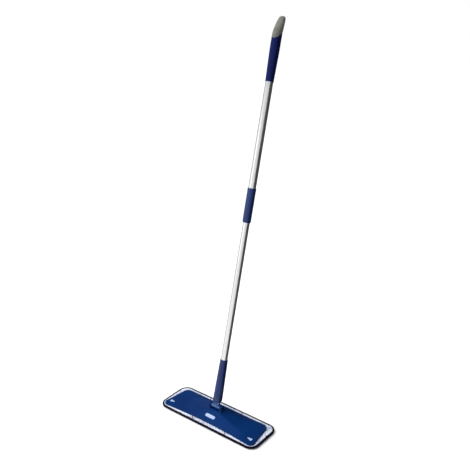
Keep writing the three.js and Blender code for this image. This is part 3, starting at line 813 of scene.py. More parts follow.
def make_bush():
    """Guide plug with a ribbed head that closes the lower tube's top end."""
    start, end = span("inner_bush")
    head, plug = 11.1, 9.7
    shoulder = start + 26.3
    outline = [(0, start, 0), (plug - 1, start, 0.5), (plug, start + 2, 0.5), (plug, shoulder, 0),
               (head, shoulder, 0.3)]
    for k in range(3):
        z = shoulder + 2.5 + 3.2 * k
        groove = head - 0.6
        outline += [(head, z, 0.3), (groove, z + 0.6, 0.2), (groove, z + 1.4, 0.2), (head, z + 2, 0.3)]
    outline += [(head, end - 2, 0.4), (head - 1.5, end, 0.5), (0, end, 0)]
    bush = turned("bush_plug", fillet(outline, 4, closed=False), POLE, 96, closed=False)
    finish_piece(bush, "lower_pole", NYLON, "nylon", "inner_bush")


# ------------------------------------------------------------------ joint
FORK = {"slot": 6.0, "top": 41.0, "flare": 0.5}
RIVET = {"r": 3.0, "bore": 2.2, "head": 4.9, "half": 13.8}
OUTSIDE = 30                    # how far the cutters reach, past anything on the pole


def trim_tool(r):
    """Cuts the fork's legs to a round below the rivet."""
    legs = [(r * math.cos(a), SWING_AT - r * math.sin(a)) for a in np.linspace(math.pi, 0, 49)]
    side = r + 12
    outline = legs + [(side, SWING_AT), (side, -OUTSIDE), (-side, -OUTSIDE), (-side, SWING_AT)]
    return lofted("trim_tool", [[(x, y, z) for x, z in outline] for y in (-OUTSIDE, OUTSIDE)], POLE)


def slot_tool():
    """Cuts the slot between the fork's legs, wider at its mouth."""
    half, flare, top = FORK["slot"], FORK["flare"], FORK["top"]
    right = [(half + flare + 6, -20), (half + flare + 1.5, 13.6), (half, 15.6), (half, top - 1.5),
             (half - 1.5, top)]
    section = right + [(-y, z) for y, z in right[::-1]]
    return lofted("slot_tool", [[(x, y, z) for y, z in section] for x in (-OUTSIDE, OUTSIDE)], POLE)


def make_socket():
    """Tapered socket with a ring groove, a rounded fork below and a seat for the screw behind."""
    _, top = span("pole_socket")
    r = radius("pole_socket")
    neck = r - 2.5
    groove, taper = r - 0.8, r - 0.15
    outline = [(0, 13.8, 0), (11.2, 13.8, 1.5), (13.8, 15.2, 2), (r - 0.2, 18.4, 2.5), (r, 24, 3),
               (r, 45.4, 0.5), (groove, 45.9, 0.3), (groove, 47.6, 0.3), (r, 48.2, 0.5)]
    outline += [(taper + (neck + 0.25 - r) * k / 12, 54 + (top - 62) * k / 12, 0) for k in range(12)]
    outline += [(neck + 0.1, top - 6, 1), (neck + 0.25, top - 3.5, 0.8), (neck + 0.15, top - 0.6, 0.8),
                (LOWER_TUBE_BORE, top, 0.4), (LOWER_TUBE_BORE, 95, 0), (9, 95, 0), (9, 54, 1.5), (0, 54, 0)]
    socket = turned("socket_body", fillet(outline, 5, closed=False), POLE, 128, closed=False)
    face = about_y(at(0, 0, SWING_AT, POLE))
    tools = [trim_tool(r + 0.05), slot_tool(), bore_tool(RIVET["r"] + GAP, -13, 13, 0.4, face)]
    wide = RIVET["head"] + GAP
    recess = [(0, 12.6), (wide, 12.6), (wide, 14.2), (RIVET["head"] + 6, 20), (0, 20)]
    for side in (-1, 1):
        tools.append(turned("recess_tool", recess, face @ facing(side), 72, closed=False))
    screw_seat = [(0, 5), (1.8, 5), (1.8, 12.3), (3.7, 12.3), (3.7, 12.9), (9, 18), (0, 18)]
    tools.append(turned("screw_tool", screw_seat, about_y(at(0, 0, screw_height(), POLE)), 48, closed=False))
    combine(socket, tools)
    finish_piece(socket, "lower_pole", SOCKET_BLUE, "socket_blue", "pole_socket")


def screw_height():
    points = pole_points("socket_screw")
    return (points[:, 2].min() + points[:, 2].max()) / 2


KNUCKLE_BORE = 2.8


def make_knuckle():
    """Cross piece: a barrel along X for the tilt pin and a rounded tongue for the swing rivet."""
    low, high = low_high("knuckle")
    half = (high[0] - low[0]) / 2
    r, tongue_r, thick = 8.0, 9.5, 4.5
    foot, waist = (13, 5), (tongue_r, 20)
    ends = fillet([(0, -half, 0), (r, -half, 0.9), (r, half, 0.9), (0, half, 0)], 5, closed=False)
    barrel = turned("knuckle_cross", ends, about_x(POLE), 96, closed=False)

    def outline(inset):
        neck = [(x - inset, z) for x, z in quadratic(foot, (tongue_r, 11), waist, 8)]
        neck.append((tongue_r - inset, 20))
        round_top = [((tongue_r - inset) * math.cos(a), SWING_AT + (tongue_r - inset) * math.sin(a))
                     for a in np.arange(25) * math.pi / 24]
        mirrored = [(-x, z) for x, z in neck[::-1]]
        return [(-14 + inset, -3), (14 - inset, -3)] + neck + round_top + mirrored

    rings = slab_rings(outline, -thick, thick, 1.0)
    tongue = lofted("tongue", [[(x, y, z) for x, z, y in ring] for ring in rings], POLE)
    combine(barrel, [tongue], "UNION")
    combine(barrel, [bore_tool(KNUCKLE_BORE, -half, half, 0.4, about_x(POLE), 48),
                     bore_tool(3.3, -thick, thick, 0.3, about_y(at(0, 0, SWING_AT, POLE)), 48)])
    finish_piece(barrel, "knuckle", JOINT_BLUE, "socket_blue", "knuckle")


def make_rivet_and_washers():
    r, bore, head, half = (RIVET[k] for k in ("r", "bore", "head", "half"))
    side = [(r, half - 0.9, 0), (head, half - 0.9, 0.15), (head - 0.25, half - 0.2, 0.4),
            (head - 0.9, half, 0.4), (head - 1.5, half - 0.35, 0.3), (bore, half - 1.6, 0.6)]
    profile = fillet([(a, -b, c) for a, b, c in side[::-1]] + side, 5)
    face = about_y(at(0, 0, SWING_AT, POLE))
    rivet = turned("tubular_rivet", profile, face, 72)
    finish_piece(rivet, "lower_pole", DARK_STEEL, "pin_steel", "swing_rivet")
    for name, side in (("swing_washer_front", -1), ("swing_washer_back", 1)):
        low, high = sorted((side * 4.8, side * 5.7))
        ring = fillet([(3.4, low, 0.15), (8, low, 0.3), (8, high, 0.3), (3.4, high, 0.15)], 3)
        washer = turned(name + "_ring", ring, face, 72)
        finish_piece(washer, "knuckle", NYLON, "nylon", name)


# ------------------------------------------------------------------ head
COVER_LOW, COVER_HIGH = low_high("base_cover")
FRONT_HALF = COVER_HIGH[0]
BACK_HALF = FRONT_HALF - 11
FRONT_Y = (COVER_LOW[1] + 9, COVER_LOW[1])      # at the middle and at the corners
BACK_Y = (COVER_HIGH[1] - 1.5, COVER_HIGH[1])
FRONT_CORNER, BACK_CORNER = 18, 24
BOTTOM_Z = COVER_LOW[2]
EDGE_Z = 14.0
ROOF_RISE = 22.0
ROOF_HALF = (22.0, 14.0)
CREASE_END = (190.0, -42.0, 35.0)
ROOF_POWER = 1.25
CREASE_ROUND = 1.0
COVER_WALL = 2.0
RIM_ROUND = 1.9
LONG_STEPS, CORNER_STEPS, END_STEPS = 80, 14, 28
EAR_X = (17.7, 26.5)
EAR_FOOT = 35.0                 # the height at which the ears flare into the roof
EAR_FLARE = 3.6
EAR_ROUND = 1.1
PIN_BORE = 2.8
LABEL_SIZE = (40, 12)
INLAY_DEPTH = 1.1


def head_outline(inset):
    """The cover's plan inset by some mm: both long edges bow in and the ends narrow to the back."""
    low, bow_low = FRONT_Y[1] + inset, FRONT_Y[0] + inset
    high, bow_high = BACK_Y[1] - inset, BACK_Y[0] - inset
    xf, xb = FRONT_HALF - inset, BACK_HALF - inset
    rf, rb = FRONT_CORNER - inset, BACK_CORNER - inset
    end = (xf + xb) / 2, (low + rf + high - rb) / 2
    turns = [
        ((-xf + rf, low), (0, 2 * bow_low - low), LONG_STEPS),
        ((xf - rf, low), (xf, low), CORNER_STEPS),
        ((xf, low + rf), end, END_STEPS),
        ((xb, high - rb), (xb, high), CORNER_STEPS),
        ((xb - rb, high), (0, 2 * bow_high - high), LONG_STEPS),
        ((-xb + rb, high), (-xb, high), CORNER_STEPS),
        ((-xb, high - rb), (-end[0], end[1]), END_STEPS),
        ((-xf, low + rf), (-xf, low), CORNER_STEPS),
    ]
    stops = turns[1:] + turns[:1]
    return np.concatenate([quadratic(a, b, stop[0], steps) for (a, b, steps), stop in zip(turns, stops)])


def long_edges(x):
    """Where the cover's bowed front and back edges lie at x."""
    bow = np.minimum((x / (FRONT_HALF - FRONT_CORNER)) ** 2, 1)
    return FRONT_Y[0] + (FRONT_Y[1] - FRONT_Y[0]) * bow, BACK_Y[0] + (BACK_Y[1] - BACK_Y[0]) * bow


def roof(x, y):
    """Height of the cover's hipped roof: level in the middle, creases out to its four corners."""
    x, y = np.asarray(x, float), np.asarray(y, float)
    along = np.clip((np.abs(x) - ROOF_HALF[0]) / (CREASE_END[0] - ROOF_HALF[0]), 0, 1)
    rise = ROOF_RISE * (1 - along) ** ROOF_POWER
    front, back = long_edges(x)
    crease_front = -ROOF_HALF[1] + (CREASE_END[1] + ROOF_HALF[1]) * along
    crease_back = ROOF_HALF[1] + (CREASE_END[2] - ROOF_HALF[1]) * along
    slope_front = rise * (y - front) / (crease_front - front)
    slope_back = rise * (back - y) / (back - crease_back)
    return EDGE_Z + np.maximum(soft_min([slope_front, slope_back, rise], CREASE_ROUND), 0)


def cover_rings():
    """The shell's rings: from the middle of its hollow out round the skirt to the middle of its roof."""
    rings = []

    def ring(points, heights):
        heights = np.broadcast_to(heights, len(points))
        rings.append([(x, y, z) for (x, y), z in zip(points, heights)])

    plain = head_outline(0)
    centre = np.stack([np.clip(plain[:, 0] * 0.16, -30, 30), np.clip(plain[:, 1] * 0.02, -1, 1)], 1)
    for share in (0.0, 0.15, 0.35, 0.55, 0.75, 0.9, 0.985):
        points = centre + (head_outline(COVER_WALL + 0.4) - centre) * share
        ring(points, roof(*points.T) - COVER_WALL)
    for inset, lift in ((COVER_WALL, 2.2), (COVER_WALL - 0.1, 0.3), (COVER_WALL - 0.4, 0),
                        (0.5, 0), (0.1, 0.4), (0, 1.0)):
        ring(head_outline(inset), BOTTOM_Z + lift)
    base = head_outline(RIM_ROUND)
    for k in range(7):
        a = math.pi / 2 * k / 6
        ring(head_outline(RIM_ROUND * (1 - math.cos(a))), roof(*base.T) - RIM_ROUND * (1 - math.sin(a)))
    for k in range(1, 41):
        points = centre + (base - centre) * (1 - k / 40) ** 0.9
        ring(points, roof(*points.T))
    return rings


def make_cover():
    """The cover as one shell: roof, rounded rim, skirt and hollow underside, with two ears on top."""
    cover = lofted("cover_shell", cover_rings())
    for side in (-1, 1):
        combine(cover, [make_ear(side)], "UNION")
    cut_cover(cover)
    finish_piece(cover, "head", COVER_BLUE, "cover_blue", "base_cover")


def make_ear(side):
    """A rounded ear that carries one end of the tilt pin and flares softly into the roof."""
    inner, outer = EAR_X
    middle, half = side * (inner + outer) / 2, (outer - inner) / 2
    top = COVER_HIGH[2]
    ear_r = top - TILT_Z
    arc = [TILT_Z + ear_r * math.sin(math.pi / 2 * k / 16) for k in range(1, 16)]
    rings = []
    for z in [*np.linspace(30, 36, 4), *np.linspace(36.6, TILT_Z, 10), *arc, top - 0.02]:
        deep = math.sqrt(max(ear_r**2 - max(z - TILT_Z, 0) ** 2, 0.01))
        flare = EAR_FLARE * math.exp(-max(z - EAR_FOOT, 0) / 2.2)
        rounded = max(0, 1 - (top - z) / EAR_ROUND)
        wide = half - EAR_ROUND * (1 - math.sqrt(max(0, 1 - rounded**2)))
        outward = flare * 0.8 if z < EAR_FOOT + 10 else 0
        ring = []
        for j in range(48):
            a = 2 * math.pi * j / 48
            x = wide * math.copysign(abs(math.cos(a)) ** 0.35, math.cos(a))
            y = (deep + flare) * math.copysign(abs(math.sin(a)) ** 0.6, math.sin(a))
            ring.append((middle + x + (side * outward if x * side > 0 else 0), y, z))
        rings.append(ring)
    return lofted("ear", rings)


def pin_axis(side=1):
    """The tilt pin's axis, out of the ear on one side."""
    return about_x(at(0, 0, TILT_Z)) @ facing(side)


def cut_cover(cover):
    """Bores the ears for the pin and its caps, and sinks the seats of the inlays."""
    inner, outer = EAR_X
    floor = outer - 2.0
    seat = [(0, floor), (5, floor), (5, outer - 0.4), (9, outer + 3.6), (9, 40), (0, 40)]
    tools = [bore_tool(PIN_BORE, -inner, inner, 0.0, pin_axis(), 48)]
    tools += [turned("seat_tool", seat, pin_axis(side), 64, closed=False) for side in (-1, 1)]
    tools.append(plaque("label_seat", 0.0, -INLAY_DEPTH, 4.0))
    tools += [corner_mark("mark_seat", side, 0.0, -INLAY_DEPTH, 6.0) for side in (-1, 1)]
    combine(cover, tools)


def facet():
    """The roof's slope in front of its level middle, as a matrix in mm with +Z out of it."""
    run = -ROOF_HALF[1] - FRONT_Y[0]
    y = middle_of("label_plate")[1]
    z = EDGE_Z + ROOF_RISE * (y - FRONT_Y[0]) / run
    return at(0, y, z) @ Matrix.Rotation(math.atan2(ROOF_RISE, run), 4, "X")


def pill(length, width, inset):
    """The outline of a bar with round ends."""
    r = width / 2 - inset
    x = length / 2 - width / 2
    turn = np.linspace(-math.pi / 2, math.pi / 2, 16)
    right = [(x + r * math.cos(a), r * math.sin(a)) for a in turn]
    left = [(-x + r * math.cos(a), r * math.sin(a)) for a in turn + math.pi]
    return right + left


def plaque(name, inset, low, high):
    rings = [[(x, y, z) for x, y in pill(*LABEL_SIZE, inset)] for z in (low, high)]
    return lofted(name, rings, facet())


def mark_outline(side, inset):
    """A small rounded triangle in the front corner; its tip points to the middle."""
    low, high = low_high("corner_inlay_right")
    x0, x1, y0, y1 = low[0] - GAP, high[0] + GAP, low[1] - GAP, high[1] + GAP
    corners = [(x0, (y0 + y1) / 2, 1.2), (x1, y1, 2.2), (x1 - 0.5, y0, 2.2)]
    points = fillet(corners, 6)
    centre = np.mean(points, axis=0)
    made = []
    for point in points:
        arm = np.array(point) - centre
        made.append(centre + arm * (1 - 1.6 * inset / np.linalg.norm(arm)))
    return [(side * x, y) for x, y in made]


def corner_mark(name, side, inset, low, high):
    outline = mark_outline(side, inset)
    rings = [[(x, y, float(roof(x, y)) + z) for x, y in outline] for z in (low, high)]
    return lofted(name, rings)


def make_inlays():
    """The blank plaque on the front slope and the two corner marks, each with a rounded edge."""
    rings = slab_rings(lambda inset: pill(*LABEL_SIZE, GAP + inset), -0.8, 0.35, 0.3, 3)
    label = lofted("blank_plaque", rings, facet())
    finish_piece(label, "head", INLAY, "inlay_white", "label_plate")
    for name, side in (("corner_inlay_left", -1), ("corner_inlay_right", 1)):
        rings = slab_rings(lambda inset: mark_outline(side, 0.25 + inset), -0.8, 0.3, 0.25, 3)
        lifted = [[(x, y, float(roof(x, y)) + z) for x, y, z in ring] for ring in rings]
        mark = lofted(name + "_mark", lifted)
        finish_piece(mark, "head", INLAY, "inlay_white", name)


HOOK_STRIPS = ("hook_strip_front", "hook_strip_back")
PLATE_SCREWS = [f"plate_screw_{i + 1}" for i in range(6)]


def make_plate():
    """The flat plate under the cover with rounded edges, strip seats and screw seats."""
    low, high = low_high("base_plate")
    rings = slab_rings(lambda inset: head_outline(2.3 + inset), low[2], high[2], 0.5, 3)
    plate = lofted("under_plate", rings)
    tools = []
    for node in HOOK_STRIPS:
        a, b = low_high(node)
        outline = rounded_box(a - GAP, b + GAP, 4, 0)
        tools.append(lofted("strip_tool", [[(x, y, z) for x, y in outline] for z in (0, low[2] + 0.8)]))
    mouth, seat_r, hole_r, shoulder = 4.4, 3.6, 1.8, 10.9
    seat = [(0, 0), (mouth, 0), (mouth, low[2] - 0.2), (seat_r, low[2] + 0.4), (seat_r, shoulder),
            (hole_r, shoulder), (hole_r, 20), (0, 20)]
    for node in PLATE_SCREWS:
        x, y, _ = middle_of(node)
        tools.append(turned("screw_seat", seat, at(x, y, 0), 32, closed=False))
    combine(plate, tools)
    finish_piece(plate, "head", COVER_BLUE, "cover_blue", "base_plate")


def rounded_box(low, high, corner, inset):
    x0, y0, x1, y1 = low[0] + inset, low[1] + inset, high[0] - inset, high[1] - inset
    r = max(corner - inset, 0.2)
    return fillet([(x0, y0, r), (x1, y0, r), (x1, y1, r), (x0, y1, r)], 6)


def make_strips():
    """Hook tapes: a thin backing with rows of small mushroom hooks that face the pad."""
    hook = 0.75
    for node in HOOK_STRIPS:
        low, high = low_high(node)
        rings = slab_rings(lambda inset: rounded_box(low, high, 3, inset), low[2] + hook, high[2], 0.15, 2)
        strip = lofted(node + "_tape", rings)
        add_hooks(strip, low, high, hook)
        finish_piece(strip, "head", HOOKS, "hook_tape", node)


def add_hooks(strip, low, high, tall):
    """Rows of four-sided mushroom hooks that hang from the tape."""
    pitch = 2.4
    levels = [(0.28, tall + 0.1), (0.2, tall * 0.5), (0.5, tall * 0.28), (0.34, 0.04)]
    quarters = (0, math.pi / 2, math.pi, 1.5 * math.pi)
    work = bmesh.new()
    work.from_mesh(strip.data)
    for i in range(int((high[0] - low[0] - 4) / pitch)):
        for j in range(int((high[1] - low[1] - 3) / pitch)):
            x = low[0] + 2.5 + pitch * (i + 0.5 * (j % 2))
            y = low[1] + 2 + pitch * j
            rings = []
            for r, z in levels:
                points = [Vector((x + r * math.cos(a), y + r * math.sin(a), low[2] + z)) for a in quarters]
                rings.append([work.verts.new(point * MM) for point in points])
            work.faces.new(rings[0])
            for upper, lower in zip(rings, rings[1:]):
                for k in range(4):
                    work.faces.new((upper[k], lower[k], lower[(k + 1) % 4], upper[(k + 1) % 4]))
            work.faces.new(rings[-1][::-1])
    bmesh.ops.recalc_face_normals(work, faces=work.faces)
    work.to_mesh(strip.data)
    work.free()


def make_screws():
    """Plate screws and the socket screw: domed heads with a cross recess on threaded shanks."""
    for i, node in enumerate(PLATE_SCREWS):
        low, high = low_high(node)
        x, y, _ = middle_of(node)
        thing = screw(node + "_pan", 3.2, 0.9, high[2] - low[2], at(x, y, low[2]), i * 0.7)
        finish_piece(thing, "head", STEEL, "pin_steel", node)
    points = pole_points("socket_screw")
    place = at(0, points[:, 1].max(), screw_height(), POLE) @ Matrix.Rotation(math.pi / 2, 4, "X")
    thing = screw("socket_screw_pan", 3.2, 1.4, 5.2, place, 0.5)
    finish_piece(thing, "lower_pole", STEEL, "pin_steel", "socket_screw")


def screw(name, head, tall, length, matrix, turn):
    """A pan-head screw along +Z from its head's face at z = 0."""
    outline = [(0, 0, 0), (head * 0.7, 0.02, 0.6), (head, tall * 0.55, 0.3), (head, tall, 0.1),
               (1.5, tall, 0)]
    z = tall + 0.4
    while z < length - 1.4:
        outline += [(1.45, z, 0.05), (1.15, z + 0.3, 0.05), (1.45, z + 0.6, 0.05)]
        z += 0.75
    outline += [(1.3, length - 1.2, 0.1), (0.5, length, 0.1), (0, length, 0)]
    made = turned(name, fillet(outline, 3, closed=False), matrix, 40, closed=False)
    arm, slot, depth = (-head * 0.62, head * 0.62), (-0.36, 0.36), (-1, tall * 0.6)
    return combine(made, [box_tool(arm, slot, depth, matrix, turn), box_tool(slot, arm, depth, matrix, turn)])


def make_pin_and_caps():
    low, high = low_high("tilt_pin")
    r, half = (high[2] - low[2]) / 2, (high[0] - low[0]) / 2
    outline = fillet([(0, -half, 0), (r, -half, 0.5), (r, half, 0.5), (0, half, 0)], 4, closed=False)
    pin = turned("tilt_axle", outline, pin_axis(), 48, closed=False)
    finish_piece(pin, "head", STEEL, "pin_steel", "tilt_pin")
    for node, side in (("pin_cap_left", -1), ("pin_cap_right", 1)):
        low, high = low_high(node)
        r, thick = (high[2] - low[2]) / 2, high[0] - low[0]
        inner = min(abs(low[0]), abs(high[0]))
        outline = fillet([(0, 0, 0), (r, 0, 0.2), (r, thick - 0.35, 0.4), (r * 0.55, thick, 1.2),
                          (r * 0.42, thick, 0.2), (r * 0.36, thick - 0.4, 0.2), (0, thick - 0.45, 0)],
                         4, closed=False)
        cap = turned(node + "_plug", [(a, inner + z) for a, z in outline], pin_axis(side), 64, closed=False)
        finish_piece(cap, "head", COVER_BLUE, "cover_blue", node)


# ------------------------------------------------------------------ pad
PAD_LOW, PAD_HIGH = low_high("pad_binding")
PAD_HALF = (PAD_HIGH[0], PAD_HIGH[1])
PAD_CORNER = 32.0
TAPE_WIDTH = 5.8


def pad_path(inset, step=1.6):
    """Points round the pad at an inset, each with its outward normal and its share of the way round."""
    x, y, r = PAD_HALF[0] - inset, PAD_HALF[1] - inset, PAD_CORNER - inset
    points = refine(fillet([(-x, -y, r), (x, -y, r), (x, y, r), (-x, y, r)], 28), step)
    points = np.array(points)
    ahead, behind = np.roll(points, -1, 0), np.roll(points, 1, 0)
    tangent = ahead - behind
    tangent /= np.linalg.norm(tangent, axis=1)[:, None]
    normal = np.stack([tangent[:, 1], -tangent[:, 0]], 1)
    share = np.arange(len(points)) / len(points)
    return points, normal, share


TAPE_THICK = 0.75
TAPE_JOIN = {"y": 13.0, "half": 3.2, "wider": 2.6}     # where the tape's ends overlap, on the right-hand end


def tape_section(wide, tall, pucker):
    """Outline of the folded tape: (in from the edge, up from its middle), the slot inwards."""
    inner = tall - TAPE_THICK
    top = [(0.0, 0.0, 2.6), (0.15, tall, 2.2), (wide, tall - 0.1 + pucker, 0.3),
           (wide, inner - 0.1 + pucker, 0.3),
           (TAPE_THICK, inner, 1.4)]
    lower = [(x, -z, r) for x, z, r in top[1:]][::-1]
    return fillet([(0.0, -0.4, 0)] + [(0.0, 0.4, 0)] + top[1:] + lower, 4)


def make_binding():
    """Tape folded round the pad's edge: it swells, pulls in and puckers a little along the way."""
    points, normal, share = pad_path(0)
    low, high = PAD_LOW[2] + 2.6, PAD_HIGH[2]
    middle, half = (low + high) / 2, (high - low) / 2
    rings = []
    for (x, y), n, s in zip(points, normal, share):
        pucker = waves(s, 4, 9, 60, 150)
        wide = TAPE_WIDTH + 0.1 + 0.4 * waves(s, 5, 8, 12, 60)
        if n[0] > 0.9:
            wide += TAPE_JOIN["wider"] * math.exp(-((y - TAPE_JOIN["y"]) / TAPE_JOIN["half"]) ** 2)
        inset = 0.35 + 0.3 * waves(s, 3, 9, 9, 40)
        section = tape_section(wide, half - 0.22, 0.1 * pucker)
        rings.append([(x - n[0] * (into + inset), y - n[1] * (into + inset), middle + up)
                      for into, up in section])
    faces = ring_faces(len(rings), len(rings[0]), True)
    binding = mesh_object("edge_binding", [p for r in rings for p in r], faces)
    finish_piece(binding, "pad", TAPE, "binding_tape", "pad_binding")


def make_binding_stitches():
    """The lockstitch that holds the tape down, along its inner edge on top."""
    points, _, _ = pad_path(TAPE_WIDTH - 1.2, 0.5)
    lengths = np.concatenate([[0], np.cumsum(np.linalg.norm(np.diff(points, axis=0), axis=1))])
    pitch, run = 3.2, 2.3
    vertices, faces = [], []
    for i in range(int(lengths[-1] / pitch)):
        steps = i * pitch + run * np.linspace(0, 1, 5)
        route = [(np.interp(d, lengths, points[:, 0]), np.interp(d, lengths, points[:, 1]),
                  PAD_HIGH[2] - 0.42 + 0.3 * math.sin(math.pi * k / 4)) for k, d in enumerate(steps)]
        add_thread(vertices, faces, route, 0.3, 0.3)
    stitches = mesh_object("binding_stitches", vertices, faces)
    finish_piece(stitches, "pad", THREAD, "binding_tape")


def past_corner(a, b):
    """Distance past a rounded corner's middle, from the distances past its two sides."""
    return np.hypot(np.maximum(a, 0), np.maximum(b, 0)) + np.minimum(np.maximum(a, b), 0)


def inside_pad(x, y, inset):
    """Distance in mm that a point lies inside the pad's outline at an inset (negative outside)."""
    hx, hy, r = PAD_HALF[0] - inset, PAD_HALF[1] - inset, PAD_CORNER - inset
    return r - past_corner(np.abs(x) - (hx - r), np.abs(y) - (hy - r))


def pad_grid(inset, step):
    """A flat grid cut to the pad's outline by pulling its outer points onto it."""
    hx, hy, r = PAD_HALF[0] - inset, PAD_HALF[1] - inset, PAD_CORNER - inset
    nx, ny = int(2 * hx / step), int(2 * hy / step)
    xs, ys = np.linspace(-1, 1, nx + 1), np.linspace(-1, 1, ny + 1)
    gx, gy = np.meshgrid(xs, ys, indexing="ij")
    x, y = gx * hx, gy * hy
    over_x, over_y = np.abs(x) - (hx - r), np.abs(y) - (hy - r)
    corner = (over_x > 0) & (over_y > 0)
    square = np.maximum(over_x, over_y)
    length = np.maximum(np.hypot(over_x, over_y), 1e-9)
    shrink = np.where(corner, square / length, 1)
    x = np.where(corner, np.sign(x) * (hx - r + over_x * shrink), x)
    y = np.where(corner, np.sign(y) * (hy - r + over_y * shrink), y)
    index = np.arange((nx + 1) * (ny + 1)).reshape(nx + 1, ny + 1)
    quads = np.stack([index[:-1, :-1], index[1:, :-1], index[1:, 1:], index[:-1, 1:]], -1).reshape(-1, 4)
    rim = np.concatenate([index[:, 0], index[-1, 1:], index[-2::-1, -1], index[0, -2:0:-1]])
    return x.ravel(), y.ravel(), quads, rim


CLOTH_FRAMES = 18


def crumple(x, y, z, quads, pinned, grow):
    """Lets a slightly oversize cloth buckle between its pinned points and returns its points in mm."""
    data = bpy.data.meshes.new("cloth_work")
    data.from_pydata([(a * MM, b * MM, c * MM) for a, b, c in zip(x, y, z)], [], quads.tolist())
    thing = bpy.data.objects.new("cloth_work", data)
    bpy.context.scene.collection.objects.link(thing)
    group = thing.vertex_groups.new(name="pin")
    group.add([int(i) for i in np.nonzero(pinned)[0]], 1.0, "REPLACE")
    settings = thing.modifiers.new("cloth", "CLOTH").settings
    settings.quality = 6
    settings.mass = 0.15
    settings.tension_stiffness = 20
    settings.compression_stiffness = 20
    settings.shear_stiffness = 8
    settings.bending_stiffness = 0.02
    settings.vertex_group_mass = "pin"
    settings.shrink_min = -grow
    settings.shrink_max = -grow
    settings.effector_weights.gravity = 0.15
    scene = bpy.context.scene
    for number in range(1, CLOTH_FRAMES + 1):
        scene.frame_set(number)
    solved = thing.evaluated_get(bpy.context.evaluated_depsgraph_get())
    moved = np.array([v.co for v in solved.to_mesh().vertices]) / MM
    solved.to_mesh_clear()
    scene.frame_set(1)
    bpy.data.objects.remove(thing)
    return moved


def outside_head(x, y):
    """Roughly how far in mm a point lies outside the cover's outline (negative under it)."""
    front, back = long_edges(x)
    share = np.clip((y - FRONT_Y[1]) / (BACK_Y[1] - FRONT_Y[1]), 0, 1)
    end = FRONT_HALF + (BACK_HALF - FRONT_HALF) * share
    corner = 12.0
    return past_corner(np.maximum(front - y, y - back) + corner, np.abs(x) - end + corner) - corner


RUFFLE = {"rise": 3.9, "length": 11.5, "slant": 0.85, "grow": 0.09, "edge": 0.36}


def ruffled_backing(inset):
    """The loop knit's top as (x, y, z, quads, rim): level under the head, in slanted folds round it."""
    x, y, quads, rim = pad_grid(inset, 2.3)
    level = low_high("pad_backing")[1][2]
    beyond = outside_head(x, y)
    to_edge = inside_pad(x, y, inset)
    under_tape = TAPE_WIDTH - inset + 0.6
    pinned = (beyond < -3) | (to_edge < under_tape)
    phase = 1.7 * np.sin(x * 0.043 + 1.1) + 1.3 * np.sin(y * 0.09 - x * 0.021)
    fold = np.sin(2 * math.pi * (x + RUFFLE["slant"] * y) / RUFFLE["length"] + phase)
    patchy = 0.65 + 0.35 * np.sin(x * 0.061 + 0.7) * np.cos(x * 0.017 + y * 0.05)
    start = level + np.where(pinned, 0, (0.35 + 0.55 * fold) * patchy)
    room = 0.4 + (RUFFLE["rise"] - 0.4) * smooth_step(beyond, 0.4, 2.6)
    room = np.minimum(room, RUFFLE["edge"] * np.maximum(to_edge - under_tape, 0) + 0.05)
    moved = crumple(x, y, start, quads, pinned, RUFFLE["grow"])
    lift = moved[:, 2] - level
    x, y = np.where(pinned, x, moved[:, 0]), np.where(pinned, y, moved[:, 1])
    soft = room * np.tanh((np.maximum(lift, -0.6) + 0.45) / np.maximum(room, 0.05))
    z = level + np.where(pinned, 0, soft) - 0.2 * (to_edge < under_tape + 0.5)
    return x, y, z, quads, rim


def closed_sheet(name, x, y, top, bottom, quads, rim):
    """A thin body between two height fields on one grid."""
    points = np.concatenate([np.stack([x, y, top], 1), np.stack([x, y, bottom], 1)])
    count, ends = len(x), len(rim)
    faces = quads.tolist() + (quads[:, ::-1] + count).tolist()
    for i in range(ends):
        a, b = int(rim[i]), int(rim[(i + 1) % ends])
        faces.append((a, b, b + count, a + count))
    return mesh_object(name, points, faces)


def make_backing():
    """White loop knit: flat under the head, in soft slanted folds in the margin round it."""
    inset = TAPE_WIDTH - 2.4
    low, high = low_high("pad_backing")
    x, y, top, quads, rim = ruffled_backing(inset)
    thick = high[2] - low[2] - 0.1
    backing = closed_sheet("loop_backing", x, y, top, np.maximum(top - thick, low[2]), quads, rim)
    smoother = backing.modifiers.new("smoother", "SUBSURF")
    smoother.levels = smoother.render_levels = 1
    bpy.context.view_layer.update()
    bake_modifiers(backing)
    shade(backing, 60)
    finish_piece(backing, "pad", KNIT, "loop_fabric", "pad_backing")
    make_backing_seams(x, y, top)


SEAM_PLACES = (-66.0, 71.0)     # where each join meets the head's edge, in mm along the pad
SEAM_SLANT = 0.85
PRESSED_IN = 0.16               # how far the head presses the joins' thread into the loops


def make_backing_seams(x, y, top):
    """Two joins in the loop knit that slant across its margins, overlocked with dark thread."""
    tree = KDTree(len(x))
    for i, (a, b) in enumerate(zip(x, y)):
        tree.insert((a, b, 0), i)
    tree.balance()
    vertices, faces = [], []
    half_y = PAD_HALF[1] - TAPE_WIDTH - 0.3
    margin, pitch, swing = 16, 0.55, 1.3
    for middle in SEAM_PLACES:
        for k in range(int(2 * half_y / pitch)):
            route = []
            for t in np.linspace(0, 1, 5):
                b = -half_y + (k + t) * pitch
                drift = SEAM_SLANT * max(0, abs(b) - half_y + margin) * math.copysign(1, -b)
                a = middle + drift + swing * (2 * t - 1) * (-1) ** k
                near = tree.find_n((a, b, 0), 3)
                weight = [1 / (d + 0.2) for _, _, d in near]
                height = sum(w * top[i] for w, (_, i, _) in zip(weight, near)) / sum(weight)
                free = float(smooth_step(outside_head(a, b), -0.3, 1.6))
                lift = (0.1 + 0.25 * math.sin(math.pi * t)) * free - PRESSED_IN * (1 - free)
                route.append((a, b, height + lift))
            add_thread(vertices, faces, route, 0.56, 0.3)
    seams = mesh_object("backing_seams", vertices, faces)
    finish_piece(seams, "pad", THREAD, "binding_tape")


THREAD_SIDES = 6


